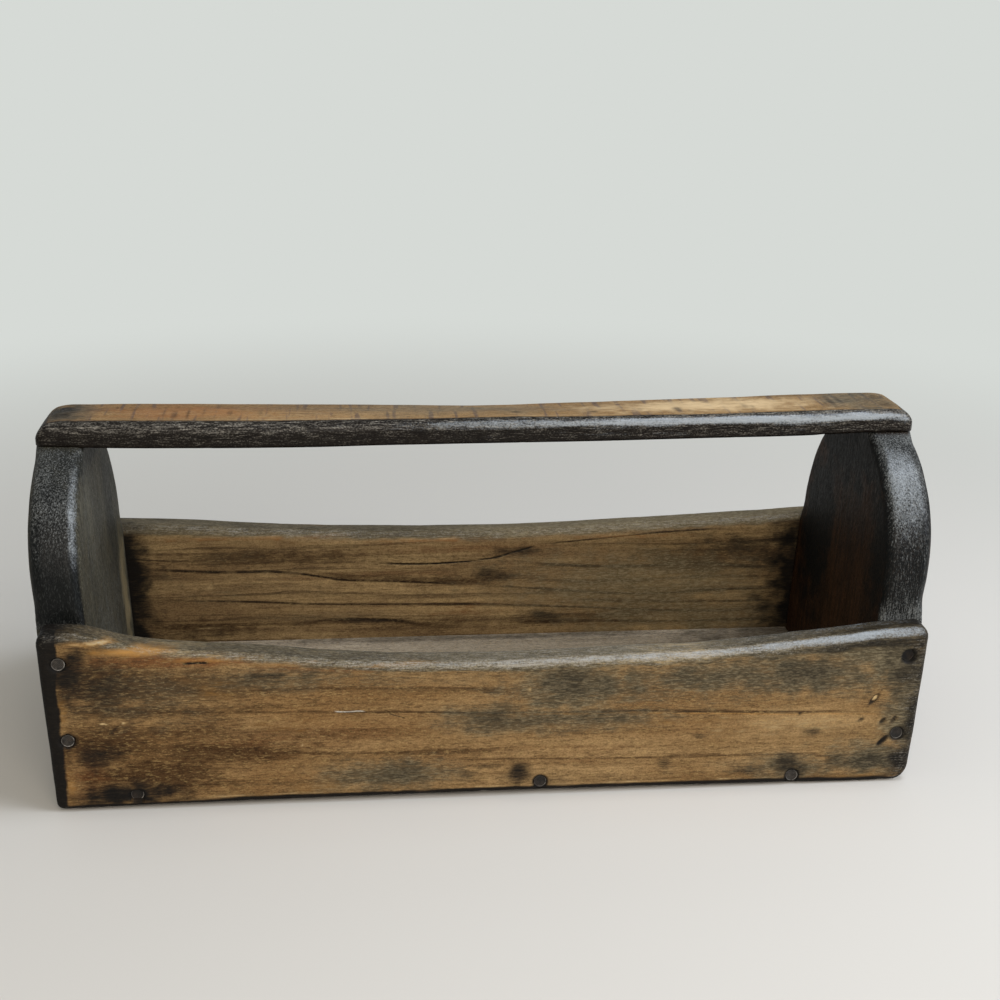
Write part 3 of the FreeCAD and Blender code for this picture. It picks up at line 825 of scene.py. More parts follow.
def makeSide(board, material):
    nails = [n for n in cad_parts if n.startswith(board["node"].replace("side", "nail"))]
    pits = nailPits(nails)
    width, height, depth = 2 * halfSide, board["flatHigh"], board["thick"]
    marksX = [p[0] / (halfSide + lean * p[2]) * halfSide + halfSide for p in pits]
    us = gridLines(width, *board["grid"][0], marksX + board["fineX"])
    vs = gridLines(height, *board["grid"][1])
    ws = gridLines(depth, *board["grid"][2])
    u, v, w, faces = blockSkin(us, vs, ws)  # w runs from the outer face to the inner one

    top = curveThrough(board["topX"], board["topZ"], u - halfSide)
    foot = curveThrough(board["footX"], board["footZ"], u - halfSide)
    u, v, b, inU, inV = corner(u, v, (width, height), board["corners"])

    # Each arris has its own radius: they run from one to the next round the rim, and are uneven
    a = np.minimum(w, depth - w)
    outer = w < depth / 2
    share = np.clip(u / width, 0, 1)
    quarter = (0, 1 / 3, 2 / 3, 1)
    outerTop = np.interp(share, quarter, board["outerTop"])
    innerTop = np.interp(share, quarter, board["innerTop"])
    radiusTop = np.where(outer, outerTop, innerTop)
    radiusEnds = np.where(outer, board["outerEnds"], board["innerArris"])
    radiusFoot = np.where(outer, board["outerFoot"], board["innerArris"])
    bu = np.minimum(u, width - u)
    bv = np.minimum(v, height - v)
    radiusLong = radiusFoot + (radiusTop - radiusFoot) * smooth(height * 0.3, height * 0.7, v)
    radius = radiusEnds + (radiusLong - radiusEnds) * smooth(-7, 7, bu - bv)
    uneven = lumps(np.stack([u, v, w], 1), 26, board["seed"], 2)
    radius = radius * (1 + board["wavering"] * uneven)
    newA, newB = squareToRound(a, b, radius)
    u = u + inU * (newB - b)
    v = v + inV * (newB - b)
    w = np.where(outer, newA, depth - newA)

    z = foot + v / height * (top - foot)
    x = (u - halfSide) / halfSide * (halfSide + lean * z)
    x, z = roundPits(x, z, pits)
    y = board["outward"] * (boxHalfDepth - w)
    points = np.stack([x, y, z], 1)
    faces = outwards(points, faces)
    normals = meshNormals(points, faces)

    depths, near = pitDepth(x, z, pits)
    onFace = smooth(2.5, 1.5, w)
    dented = np.zeros(len(x))
    for dx, dz, long, wide, turn, deep in board["dents"]:
        along, beside = slanted(x, z, dx, dz, turn)
        far = np.hypot(along / long, beside / wide)
        depths = np.maximum(depths, deep * (1 - smooth(0.3, 1.05, far)))
        dented = np.maximum(dented, (1 - smooth(0.4, 1.5, far)) * min(1, 0.5 + 0.4 * deep))
    edge = edgeAmount(newA, newB, 5)
    points = points - normals * wornDepth(points, board, edge)[:, None]
    points[:, 1] -= board["outward"] * depths * onFace

    # What the finish reads: patches on the outer and inner faces, then the worn band and the black ends
    marks = {"pit": near * onFace}
    outside = smooth(depth - 4, 4, w)
    inside = smooth(depth - 6, depth - 3, w)
    drift = patchDrift(x, z, board["seed"] + 60)
    driftInside = patchDrift(x, z, board["seed"] + 70)
    for layer in layers:
        within = spots(x, z, board["inside"].get(layer, []), driftInside) * inside
        marks[layer] = np.maximum(spots(x, z, board[layer], drift) * outside, within)

    band = board["topBand"]

    def bandOf(key):
        return np.interp(x, band["x"], band[key])

    wide = bandOf("wide") * (1 + 0.25 * uneven)
    ragged = 0.9 * lumps(points * (0.4, 1, 1), 6, board["seed"] + 90, 2)
    onTop = smooth(wide + 1.4, wide - 1.2, newB + ragged)
    onTop = onTop * smooth(wide + 9, wide + 2, height - v)  # not down the end grain
    for layer in ("weather", "grime", "stain"):
        marks[layer] = marks[layer] * (1 - onTop) + onTop * bandOf(layer)
    marks["bare"] = np.maximum(marks["bare"], onTop * bandOf("bare"))
    # On the worn top band, faces that look along sheenWay are painted lighter, with the grey sheen mark and
    # a little more dust: a painted highlight. Faces that look away get more black: a painted shade
    facing = normals @ np.array(board["sheenWay"])
    marks["dust"] = onTop * bandOf("dust") * (0.6 + 0.4 * smooth(0.8, 0.97, facing))
    marks["grime"] += board["topShade"] * onTop * smooth(0.93, 0.8, facing)
    sheenMask = smooth(0.88, 1.0, facing) * onTop
    innerArris = smooth(1.5, 0.3, newB) * smooth(2, 6, bu) * (w > depth / 2)
    marks["rubAndSheen"] = np.maximum(sheenMask, 0.3 * innerArris * onTop) * bandOf("rubAndSheen")
    marks["polish"] = onTop * bandOf("polish") + 0.12 * edge

    wobble = 2.2 * uneven + 1.5 * lumps(points, 6, board["seed"] + 80, 2)
    leftMm = board["endBandMm"][0] + 0.4 * wobble + board["endTaper"] * (z / height - 0.5)
    rightMm = board["endBandMm"][1] + wobble
    leftBand = smooth(leftMm + 1.5, leftMm - 1.5, u) * board["endGrime"][0]
    rightBand = smooth(rightMm + board["endSoft"], rightMm - board["endSoft"], width - u)
    rightBand = rightBand * board["endGrime"][1]
    aboveFoot = v * (top - foot) / height + 0.5 * uneven
    # The lowest few millimetres of the face are painted black, a painted shadow of the gap under the raised
    # foot
    footShadow = 1.4 * smooth(2.9, 1.7, aboveFoot)
    patchy = smooth(-0.5, 0.5, lumps(points * (0.3, 1, 1), 9, board["seed"] + 95, 2))
    wornFoot = smooth(1.1, 0.3, np.abs(aboveFoot - 3.7)) * patchy
    marks["bare"] = np.maximum(marks["bare"], 0.55 * wornFoot * outside)
    inDents = 0.9 * dented * onFace
    marks["grime"] = np.maximum.reduce([marks["grime"], leftBand, rightBand, footShadow, inDents])
    marks["dust"] = np.maximum(marks["dust"], board["endDust"] * smooth(22, 4, width - u) * outside)
    for cx, cz, long, wide, turn in board["chips"]:
        along, beside = slanted(x, z, cx, cz, turn)
        chip = (1 - smooth(0.5, 1.1, np.hypot(along / long, beside / wide))) * onFace
        marks["grime"] = marks["grime"] * (1 - chip)
        marks["bare"] = np.maximum(marks["bare"], 1.3 * chip)
    name = board["node"].replace("_", "") + "Board"
    makePiece(name, points, faces, material, board["node"], marks)


# The two ends: boards cut to a round top, their front and back edges worn to a thick round

bothEnds = {
    "radius": 73.65,
    "halfSeat": 20.0,  # the flat on which the handle sits
    "thick": 24.2,
    "grid": ((2.0, 8.0), (1.9, 3.0), (1.3, 8.0)),
    "arcLines": 52,  # of the grid, in the round top
    "belly": 1.5,  # the outer face stands out a little half way up its free part
    "roundEdge": 6.5,
    "wavering": 0.12,
    "squareEdge": 0.7,  # where the long boards cover it
    "rough": (0.14, 0.15, (1, 1, 0.6), 22),
    "chipped": (1.0, 0.4, (1, 1, 0.6), 6),
}

leftEnd = {
    **bothEnds,
    "node": "left_end",
    "way": -1,  # the way its outer face looks, in x
    "seatZ": 174.8,
    "seed": 3,
    "sideTops": (96.0, 93.0),  # where the front and back boards stop covering the edges
    "rimZ": (95, 104, 120, 132, 150, 174),
    "rimGrime": (0.75, 1.4, 1.35, 1.05, 0.82, 0.7),
    "rimDust": (0.5, 0.02, 0.03, 0.34, 0.5, 0.62),
    # faces of the rim that look along sheenWay get a painted highlight, as strong as sheen gives at the
    # heights in rimZ
    "sheenWay": (0.61, -0.61, 0.51),
    "sheen": (0.05, 0.05, 0.2, 0.45, 0.55, 0.25),
    "grime": [(0, 168, 90, 12, 0.6), (40, 120, 24, 60, 0.5), (-40, 100, 20, 40, 0.3), (77, 60, 3, 60, 1.0)],
    "weather": [(0, 90, 90, 90, 0.6)],
    "bare": [(58, 58, 14, 56, 0.75), (30, 90, 3, 50, 0.3), (-20, 120, 2.5, 50, 0.35)],
    "dust": [(-20, 130, 60, 60, 0.35), (0, 60, 80, 50, 0.4)],
    "grimeOutside": [(0, 90, 60, 80, 0.6), (0, 0, 90, 30, 0.8), (20, 150, 50, 30, 0.8)],
    "weatherOutside": [(-20, 80, 50, 60, 0.6)],
}

rightEnd = {
    **bothEnds,
    "node": "right_end",
    "way": 1,
    "seatZ": 176.9,
    "seed": 4,
    "sideTops": (88.0, 94.0),
    "rimZ": (88, 100, 120, 140, 160, 177),
    "rimGrime": (1.4, 1.3, 1.15, 0.95, 0.9, 1.0),
    "rimDust": (0.75, 0.3, 0.35, 0.5, 0.75, 0.75),
    # faces of the rim that look along sheenWay get a painted highlight, as strong as sheen gives at the
    # heights in rimZ
    "sheenWay": (-0.12, -0.76, 0.64),
    "sheen": (0.05, 0.1, 0.2, 0.34, 0.55, 0.7),
    # These patches darken the inside face, most strongly high up under the handle: soot, and partly a
    # painted shade
    "grime": [
        (0, 168, 90, 30, 1.2), (0, 140, 70, 60, 0.45), (40, 100, 30, 60, 1.1),
        (-60, 130, 20, 60, 0.9), (-10, 140, 30, 30, 0.4),
    ],
    "weather": [],
    "bare": [],
    "dust": [],
    "grimeOutside": [(0, 90, 60, 80, 0.65), (0, 0, 90, 30, 0.8), (-20, 150, 50, 30, 0.8)],
    "weatherOutside": [(20, 70, 50, 60, 0.6)],
}


def makeEnd(board, material):
    radius, halfSeat, depth = board["radius"], board["halfSeat"], board["thick"]
    centre = board["seatZ"] - math.sqrt(radius**2 - halfSeat**2)
    arc = radius * math.asin((board["seatZ"] - centre) / radius)
    us = gridLines(2 * radius, *board["grid"][0])
    upright = gridLines(centre, *board["grid"][1])
    vs = np.concatenate([upright[:-1], np.linspace(centre, centre + arc, board["arcLines"])])
    ws = gridLines(depth, *board["grid"][2])
    u, v, w, faces = blockSkin(us, vs, ws)
    z = np.where(v < centre, v, centre + radius * np.sin((v - centre) / radius))
    z = np.minimum(z, board["seatZ"])
    above = np.maximum(z - centre, 0)
    halfWide = np.sqrt(np.maximum(radius**2 - above**2, 0))
    y = (u / radius - 1) * halfWide

    # The front and back edges are round where the long boards leave them free
    outer = w < depth / 2
    a = np.minimum(w, depth - w)
    far = np.maximum(np.hypot(y, above), 1e-6)
    b = np.maximum(radius - far, 0)
    wayY = -y / far
    wayZ = -above / far
    covered = np.where(y < 0, board["sideTops"][0], board["sideTops"][1])
    free = smooth(-3, 12, z - covered) * smooth(13, 30, np.abs(y) + 0.4 * (board["seatZ"] - z))
    uneven = lumps(np.stack([y, z, w], 1), 24, board["seed"], 2)
    square = board["squareEdge"]
    edgeRadius = square + (board["roundEdge"] * (1 + board["wavering"] * uneven) - square) * free
    newA, newB = squareToRound(a, b, edgeRadius)
    y = y + wayY * (newB - b)
    z = z + wayZ * (newB - b)
    edge = edgeAmount(newA, newB, 6) * smooth(0, 0.5, free)
    rim = smooth(4, 1, newB) * np.maximum(free, smooth(-4, -1, z - covered) * smooth(15, 30, np.abs(y)))
    newA, seatB = squareToRound(newA, board["seatZ"] - z, np.full(len(z), 0.8))
    z = board["seatZ"] - seatB
    w = np.where(outer, newA, depth - newA)
    belly = board["belly"] * smooth(88, 135, z) * smooth(182, 140, z) * (1 - w / depth)
    x = board["way"] * (halfBase + lean * z - w + belly)
    points = np.stack([x, y, z], 1)
    faces = outwards(points, faces)
    normals = meshNormals(points, faces)
    calm = np.where(outer & (newA < 1), 0.3, 1.0)
    seated = smooth(0.5, 4, board["seatZ"] - z)  # the seat stays flat under the handle
    points = points - normals * (wornDepth(points, board, edge * (w > 3), calm) * seated)[:, None]

    onRim = np.maximum(rim, edge * smooth(8, 4, newB))
    inside = smooth(depth - 5, depth - 1, w) * (1 - onRim)
    outside = smooth(5, 1, w) * (1 - onRim)
    drift = patchDrift(y, z, board["seed"] + 60)
    driftOutside = patchDrift(y, z, board["seed"] + 61)
    marks = {"polish": 0.7 * onRim}
    for layer in ("grime", "weather", "bare", "dust"):
        marks[layer] = spots(y, z, board[layer], drift) * inside
        marks[layer] += spots(y, z, board.get(layer + "Outside", []), driftOutside) * outside
    marks["grime"] += onRim * np.interp(z, board["rimZ"], board["rimGrime"])
    marks["dust"] += onRim * np.interp(z, board["rimZ"], board["rimDust"]) * (1 + 0.4 * uneven)
    marks["weather"] += 0.5 * onRim
    # A painted highlight on the rim, where it looks along sheenWay
    facing = smooth(0.86, 0.99, normals @ np.array(board["sheenWay"]) + 0.05 * uneven)
    marks["rubAndSheen"] = facing * onRim * np.interp(z, board["rimZ"], board["sheen"])
    name = board["node"].replace("_", "") + "Board"
    makePiece(name, points, faces, material, board["node"], marks)


# The bottom: a plank between the four walls

bottomPlank = {
    "node": "bottom_board",
    "seed": 5,
    "grid": ((2.6, 2.0), (2.6, 2.0), (3.0, 1.0)),
    "arris": 0.8,
    "rough": (0.2, 0.16, (0.4, 1, 1), 30),
    "chipped": (0, 0, (1, 1, 1), 6),
    "corners": {"lowLeft": 0.8, "lowRight": 0.8, "highLeft": 0.8, "highRight": 0.8},
    # The patches at x 175 to 196 darken the floor of the box towards the right end: a painted shadow of
    # that end. The rest darken it along the walls and across the middle
    "grime": [
        (-190, 0, 14, 80, 0.7), (196, 0, 12, 80, 0.8), (175, 0, 70, 90, 0.5),
        (195, 60, 70, 34, 0.55), (0, 70, 200, 5, 0.5), (0, -70, 200, 8, 0.8),
        (60, 10, 40, 30, 0.3),
    ],
    "weather": [(0, 0, 190, 60, 0.5)],
    "dust": [(-20, 0, 150, 50, 0.35), (80, 30, 60, 14, 0.4)],
}


def makeBottom(board, material):
    low, high = sizeOf(board["node"])
    size = high - low
    u, v, w, faces = blockSkin(*(gridLines(long, *steps) for long, steps in zip(size, board["grid"])))
    u, v, b, inU, inV = corner(u, v, size, board["corners"])
    a = np.minimum(w, size[2] - w)
    newA, newB = squareToRound(a, b, np.full(len(a), board["arris"]))
    w = np.where(w < size[2] / 2, newA, size[2] - newA)
    points = np.stack([u + inU * (newB - b), v + inV * (newB - b), w], 1) + low
    faces = outwards(points, faces)
    normals = meshNormals(points, faces)
    inner = smooth(0.5, 3, newB)
    points = points - normals * (wornDepth(points, board) * inner)[:, None]
    upper = smooth(size[2] - 4, size[2] - 1, w)
    across, up = points[:, 0], points[:, 1]
    drift = patchDrift(across, up, board["seed"] + 60)
    marks = {}
    for layer in ("grime", "weather", "dust"):
        marks[layer] = spots(across, up, board[layer], drift) * upper
    marks["grime"] = np.maximum(marks["grime"], 0.55 * (1 - upper))
    makePiece("bottomBoard", points, faces, material, board["node"], marks)


# The handle: a bar that sags a little to the left of its middle, with its top edges worn round

handleBar = {
    "node": "handle",
    "halfWide": 22.5,
    "thick": 12.7,  # before the bar is bent to its own top and underside
    "grid": ((1.6, 10.0), (0.9, 6.0), (1.0, 5.6)),
    "ends": (-235.25, 235.25),
    "stationX": (-235, -200, -151, -99, -47, 7, 61, 115, 171, 212, 235),
    "underZ": (174.6, 173.1, 172.3, 172.1, 172.7, 173.2, 173.6, 174.4, 175.1, 176.6, 176.9),
    "topZ": (187.4, 187.1, 186.5, 186.1, 186.4, 186.8, 186.9, 187.4, 188.3, 189.1, 189.3),
    "dropX": (-235, -200, -151, -99, -47, 0, 39, 95, 153, 235),  # how far the back top edge has worn down
    "drop": (1.0, 0.8, 0.7, 1.0, 2.0, 3.4, 2.6, 1.6, 0.8, 0.4),
    "topRound": 5.8,  # radius of the worn arrises
    "footRound": 1.1,
    "wavering": 0.14,
    "rough": (0.16, 0.14, (0.35, 1, 1), 24),
    "chipped": (0.9, 0.4, (0.5, 1, 1), 6),
    "endLong": 15.0,  # the ends of the top are worn down over this length
    "endDeep": (7.0, 4.6),
    "corners": {"lowLeft": 4.5, "lowRight": 4.5, "highLeft": 7.0, "highRight": 7.0},
    "seed": 6,
    "darkEdge": (5.2, 2.2),  # how far the black of the front and back edges reaches onto the top
    # painted highlight with wear along the front's round edge, strongest on the right, on faces that look
    # along sheenWay
    "rubAndSheenX": (-235, -60, 0, 60, 120, 200, 235),
    "rubAndSheen": (0.05, 0.15, 0.5, 0.75, 0.95, 1.05, 0.7),
    "dustX": (-235, -130, -60, 0, 100, 235),
    "dust": (0.5, 0.55, 0.45, 0.5, 0.6, 0.65),
    "fillRadius": 3.6,
    "fillDepth": 0.35,  # the nails' holes are filled with old wax and dirt, almost to the top
    "sheenWay": (0.1, -0.86, 0.5),
    "grime": [
        (-224, 0, 16, 30, 0.6), (-221, 4, 10, 1.2, 0.6), (-222, -4, 9, 1.0, 0.6),
        (-165, -5, 1.8, 9, 0.5), (-158, -4, 1.2, 11, 0.55), (-171, -2, 1.0, 8, 0.4),
        (-150, 0, 1.2, 8, 0.35), (-136, -3, 1.4, 6, 0.4), (-120, -2, 1.6, 7, 0.5),
        (-187, 4, 1.4, 6, 0.4), (-196, 8, 1.2, 5, 0.35), (16, -8, 3, 2, 0.5),
        (59, -9, 3, 2.5, 0.5), (85, -6, 1.6, 4, 0.35), (106, -8, 3, 5, 0.55),
        (112, -10, 1.5, 3, 0.4), (144, -3, 2, 6, 0.35), (148, -6, 1.4, 4, 0.3),
        (194, 0, 2.4, 14, 0.5), (199, 2, 1.6, 12, 0.5), (190, -2, 1.4, 10, 0.35),
        (216, 0, 18, 30, 0.4), (180, 16, 30, 4, 0.4),
    ],
    "stain": [(-222, 0, 20, 30, 0.6), (-40, 6, 90, 20, 0.35), (195, 2, 12, 20, 0.6), (-95, 8, 60, 8, 0.35)],
    "weather": [
        (-225, 0, 20, 30, 0.7), (-20, 4, 80, 22, 0.5), (212, 0, 30, 30, 0.65), (-90, 10, 60, 10, 0.3),
    ],
    # (120, 0), over the right half of the top, is paler worn wood that also paints the brighter light
    # falling there
    "bare": [
        (120, 0, 80, 18, 0.75), (-90, -15, 90, 2.0, 0.45), (60, -15, 60, 2.0, 0.4),
        (150, -14, 60, 2.0, 0.5),
    ],
    "gold": [(-150, -2, 80, 14, 0.45), (-100, -12, 60, 3, 0.4)],
    "warm": [(-165, 0, 50, 20, 0.6)],
    "grimeUnder": [(-120, 0, 80, 16, 0.55), (90, 0, 110, 18, 0.5)],
    "weatherUnder": [(0, 0, 160, 12, 0.4)],
}


def makeHandle(board, material):
    left, right = board["ends"]
    width, height, depth = right - left, 2 * board["halfWide"], board["thick"]
    nails = [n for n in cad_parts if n.startswith("handle_nail")]
    middles = [sum(sizeOf(n)) / 2 for n in nails]
    pits = [(m[0], m[1], board["fillRadius"], board["fillDepth"]) for m in middles]
    us = gridLines(width, *board["grid"][0], [m[0] - left for m in middles])
    vs = gridLines(height, *board["grid"][1])
    ws = gridLines(depth, *board["grid"][2])
    u, v, w, faces = blockSkin(us, vs, ws)
    u, v, b, inU, inV = corner(u, v, (width, height), board["corners"])
    upper = w > depth / 2
    a = np.minimum(w, depth - w)
    bu = np.minimum(u, width - u)
    uneven = lumps(np.stack([u, v, w], 1), 28, board["seed"], 2)
    topRound = board["topRound"] * (1 + board["wavering"] * uneven)
    footRound = board["footRound"] * (1 - 0.3 * smooth(10, 0, bu))
    radius = np.minimum(np.where(upper, topRound, footRound), 6.3)  # less than half the thickness
    newA, newB = squareToRound(a, b, radius)
    x = left + u + inU * (newB - b)
    y = v - board["halfWide"] + inV * (newB - b)
    w = np.where(upper, depth - newA, newA)

    # The bar sags, its back top edge is worn down in the middle, and its ends are worn down too
    under = curveThrough(board["stationX"], board["underZ"], x)
    over = curveThrough(board["stationX"], board["topZ"], x)
    over = over - curveThrough(board["dropX"], board["drop"], x) * smooth(-10, 20, y)
    nearEnd = np.clip(1 - np.minimum(x - left, right - x) / board["endLong"], 0, 1)
    over = over - np.where(x < 0, *board["endDeep"]) * (1 - np.sqrt(1 - nearEnd**2))
    x, y = roundPits(x, y, pits)
    z = under + w / depth * (over - under)
    points = np.stack([x, y, z], 1)
    faces = outwards(points, faces)
    normals = meshNormals(points, faces)
    depths, near = pitDepth(x, y, pits)
    onTop = smooth(depth - 2.5, depth - 1.5, w)
    points = points - normals * wornDepth(points, board, edgeAmount(newA, newB, 4))[:, None]
    points[:, 2] -= depths * onTop

    # The front, back and end faces are black, and the black reaches a little way onto the top
    topSide = smooth(depth - 2, depth - 0.5, w)
    underSide = smooth(2, 0.5, w)
    darkReach = np.interp(y, (-12, 12), board["darkEdge"]) + 0.8 * uneven
    soft = np.interp(x, (-160, 20), (2.6, 0.9))
    border = smooth(darkReach + soft, darkReach - soft, newB)
    border = np.where(topSide + underSide > 0, border, 1.0)
    drift = patchDrift(x, y, board["seed"] + 60, 0.3)
    driftUnder = patchDrift(x, y, board["seed"] + 61)
    marks = {"pit": 0.35 * near * onTop, "chatter": topSide * (1 - border)}
    for layer in layers:
        marks[layer] = spots(x, y, board[layer], drift) * topSide * (1 - border)
    for layer in ("grime", "weather"):
        marks[layer] += spots(x, y, board[layer + "Under"], driftUnder) * underSide
    marks["grime"] = np.maximum(marks["grime"], 1.15 * border)
    marks["dust"] = border * np.interp(x, board["dustX"], board["dust"]) * smooth(-0.7, 0.5, normals[:, 2])
    # A painted highlight on the front's round edge: faces that look along sheenWay, streaked along the bar
    streaky = 0.06 * lumps(points * (0.06, 1, 1), 2.2, 91, 3)
    facing = smooth(0.84, 1.0, normals @ np.array(board["sheenWay"]) + streaky)
    marks["rubAndSheen"] = border * facing * np.interp(x, board["rubAndSheenX"], board["rubAndSheen"])
    marks["polish"] = border * np.interp(x, (-235, -60, 40, 235), (0.3, 0.6, 1.0, 1.0)) + 0.2
    makePiece("handleBar", points, faces, material, board["node"], marks)


# Wire nails: round heads with a worn waffle face, hammered in below the wood

nailShape = {
    "headRadius": 3.3,
    "headThick": 1.2,
    "dish": 0.22,  # the middle of the head is lower than its rim
    "waffle": 0.07,
    "wafflePitch": 1.15,
    "shankRadius": 1.43,
    "length": 50.6,
    "point": 4.5,
    "segments": 40,
    # How bright the rim (worn, and with a painted highlight on one side) and the dust in the waffle are,
    # where a nail isn't like the rest
    "plain": (0.7, 0.15),
    "looks": {
        "front_nail_upper_left": (1.7, 0.45),
        "front_nail_lower_left": (1.5, 0.35),
        "front_nail_bottom_left": (1.5, 0.15),
        "front_nail_bottom_right": (1.0, 0.35),
        "front_nail_upper_right": (0.15, 0.0),
    },
}


def makeNail(node, way, seed, material):
    shape = nailShape
    r, thick, shank = shape["headRadius"], shape["headThick"], shape["shankRadius"]
    co = np.array([v.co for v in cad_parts[node].data.vertices]) / mm
    depthAlong = co @ np.array(way)
    headTop = co[depthAlong < depthAlong.min() + 0.05]
    centre = (headTop.min(0) + headTop.max(0)) / 2

    # Rings of points from the middle of the head's face, round its rim and down the shank to the tip
    faceRings = 12
    headRings = faceRings + 4
    profile = [(r * t, -shape["dish"] * (1 - t**2)) for t in np.linspace(0.08, 0.93, faceRings)]
    profile += [(r * 0.98, -0.06), (r, -0.22), (r, -thick + 0.15), (r * 0.97, -thick)]
    profile += [(shank, -thick), (shank, shape["point"] - shape["length"]), (0.15, -shape["length"])]
    turns = np.linspace(0, 2 * math.pi, shape["segments"], endpoint=False)
    # The rim is painted brighter on one side of each head: a painted highlight
    lit = 0.3 + 0.7 * smooth(-0.3, 0.9, np.cos(turns + 0.8))
    pitch = 2 * math.pi / shape["wafflePitch"]
    rimMost, dustMost = shape["looks"].get(node, shape["plain"])
    rings, rim, dust = [], [], []
    for n, (radius, level) in enumerate(profile):
        ring = np.stack([radius * np.cos(turns), radius * np.sin(turns), np.full(len(turns), level)], 1)
        if n < headRings:
            ring[:, :2] *= 1 + 0.03 * lumps(ring, 4, seed, 2)[:, None] * (radius / r)
        worn = np.clip(0.7 + lumps(ring, 3, seed + 30, 2), 0, 1)
        rim.append(rimMost * lit * worn * (abs(n - faceRings) < 2))
        dust.append(0 * turns)
        if n < faceRings:
            waffle = np.cos(ring[:, 0] * pitch) * np.cos(ring[:, 1] * pitch)
            dust[n] = dustMost * np.clip(0.5 - 0.5 * waffle + 0.6 * lumps(ring, 2, seed + 70, 2), 0, 1)
            ring[:, 2] += shape["waffle"] * (waffle - 1) + 0.08 * (lumps(ring, 2.5, seed + 50, 2) - 1)
        rings.append(ring)

    count = len(turns)
    ends = [[0, 0, profile[0][1] - 0.1], [0, 0, -shape["length"]]]  # the middle of the face, and the tip
    points = np.concatenate([*rings, ends])
    last = (len(rings) - 1) * count
    faces = []
    for n in range(0, last, count):
        for k in range(count):
            m = (k + 1) % count
            faces.append((n + k, n + count + k, n + count + m, n + m))
    faces += [(len(points) - 2, k, (k + 1) % count) for k in range(count)]
    faces += [(len(points) - 1, last + (k + 1) % count, last + k) for k in range(count)]
    turn = Vector((0, 0, -1)).rotation_difference(Vector(way)).to_matrix()
    points = points @ np.array(turn).T + centre
    mesh = bpy.data.meshes.new(node)
    mesh.from_pydata((points * mm).tolist(), [], faces)
    mesh.shade_smooth()
    paint(mesh, {"rim": np.concatenate([*rim, (0, 0)]), "dust": np.concatenate([*dust, (0, 0)])})
    mesh.materials.append(material)
    piece = bpy.data.objects.new(node + "Nail", mesh)
    bpy.context.scene.collection.objects.link(piece)
    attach(piece, "root")
    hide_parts(node)


# Blackened steel: bare wire gone dark with oil and rust. Dull dark grey with a brighter rim, worn and with
# a painted highlight on one side.

steelFinish = {
    "name": "blackenedSteel",
    "gritMm": 0.7,  # coarser than real grit, so that it shows
    "patchMm": 3.5,
    "tones": ((0.4, "#181615"), (0.68, "#2a231e")),  # near-black, with rusty brown patches
    # the rim's pale tone is worn steel and a painted highlight
    "worn": {"dust": "#77726a", "rim": "#9a968f"},
    "wornMost": 1.3,
    "metallic": 0.4,  # the skin of oil and rust covers most of the metal
    "specular": 0.3,
    "roughness": (0.42, 0.7),
    "bump": 0.4,
    "bumpMm": 0.15,
}


def blackSteel(finish):
    material, tree = newMaterial(finish["name"])
    place = addNode(tree, "TexCoord", {}, "Object")
    noisy = []
    for sizeMm, detail in ((finish["gritMm"], 3.0), (finish["patchMm"], 2.0)):
        scaled = addNode(tree, "Mapping", {"Scale": [1 / (sizeMm * mm)] * 3, "Vector": place})
        noisy.append(addNode(tree, "TexNoise", {"Scale": 1.0, "Detail": detail, "Vector": scaled}))
    grit, patch = noisy
    colour = addNode(tree, "ValToRGB", {"Fac": patch})
    for stop, (position, tone) in zip(colour.node.color_ramp.elements, finish["tones"]):
        stop.position = position
        stop.color = linear(tone)
    for name, tone in finish["worn"].items():
        mark = addNode(tree, "Attribute", {"attribute_name": name}, "Fac")
        worn = addNode(tree, "Math", {**times, 0: mark, 1: grit})
        worn = addNode(tree, "Math", {**times, "use_clamp": True, 0: worn, 1: finish["wornMost"]})
        colour = addNode(tree, "Mix", {**inColour, 0: worn, 6: colour, 7: tone}, 2)
    low, high = finish["roughness"]
    rough = addNode(tree, "MapRange", {"Value": grit, "To Min": low, "To Max": high})
    raised = {"Strength": finish["bump"], "Distance": finish["bumpMm"] * mm}
    bump = addNode(tree, "Bump", {**raised, "Height": grit})
    metal = {"Metallic": finish["metallic"], "Specular IOR Level": finish["specular"]}
    surface = {"Base Color": colour, "Roughness": rough, "Normal": bump, **metal}
    shader = addNode(tree, "BsdfPrincipled", surface)
    addNode(tree, "OutputMaterial", {"Surface": shader})
    return material


# Lines on the long boards: ink, half width, how far it wanders, strength, and the points on its way
frontTraces = [
    ("line", 1.3, 4, 0.7, [(-230, 58), (-171, 55), (-60, 52.4), (-19, 50), (100, 46.5), (219, 41.6)]),
    ("line", 0.55, 3, 0.8, [(-110, 52.2), (-60, 51.8), (-19, 50), (100, 46.5), (215, 42)]),
    ("gold", 0.7, 3, 0.5, [(-20, 48.4), (100, 45.2), (219, 40.4)]),
    ("stain", 2.4, 9, 0.7, [(-190, 36), (-150, 33.5), (-60, 28), (20, 27)]),
    ("stain", 1.6, 8, 0.7, [(-40, 24), (60, 20), (150, 19), (210, 15)]),
    ("stain", 1.8, 9, 0.7, [(-228, 71), (-150, 66), (-60, 65), (30, 59)]),
    ("crack", 0.9, 0.4, 1, [(-159, 81.8), (-151, 82.2), (-145, 82.0)]),
    ("scratch", 0.65, 3, 0.85, [(-84, 53.6), (-80, 53.0), (-75, 52.8), (-70, 53.0), (-67, 52.5)]),
    ("crack", 0.5, 0, 0.7, [(-56, 50.8), (-50, 48.6), (-47, 47.6)]),
]
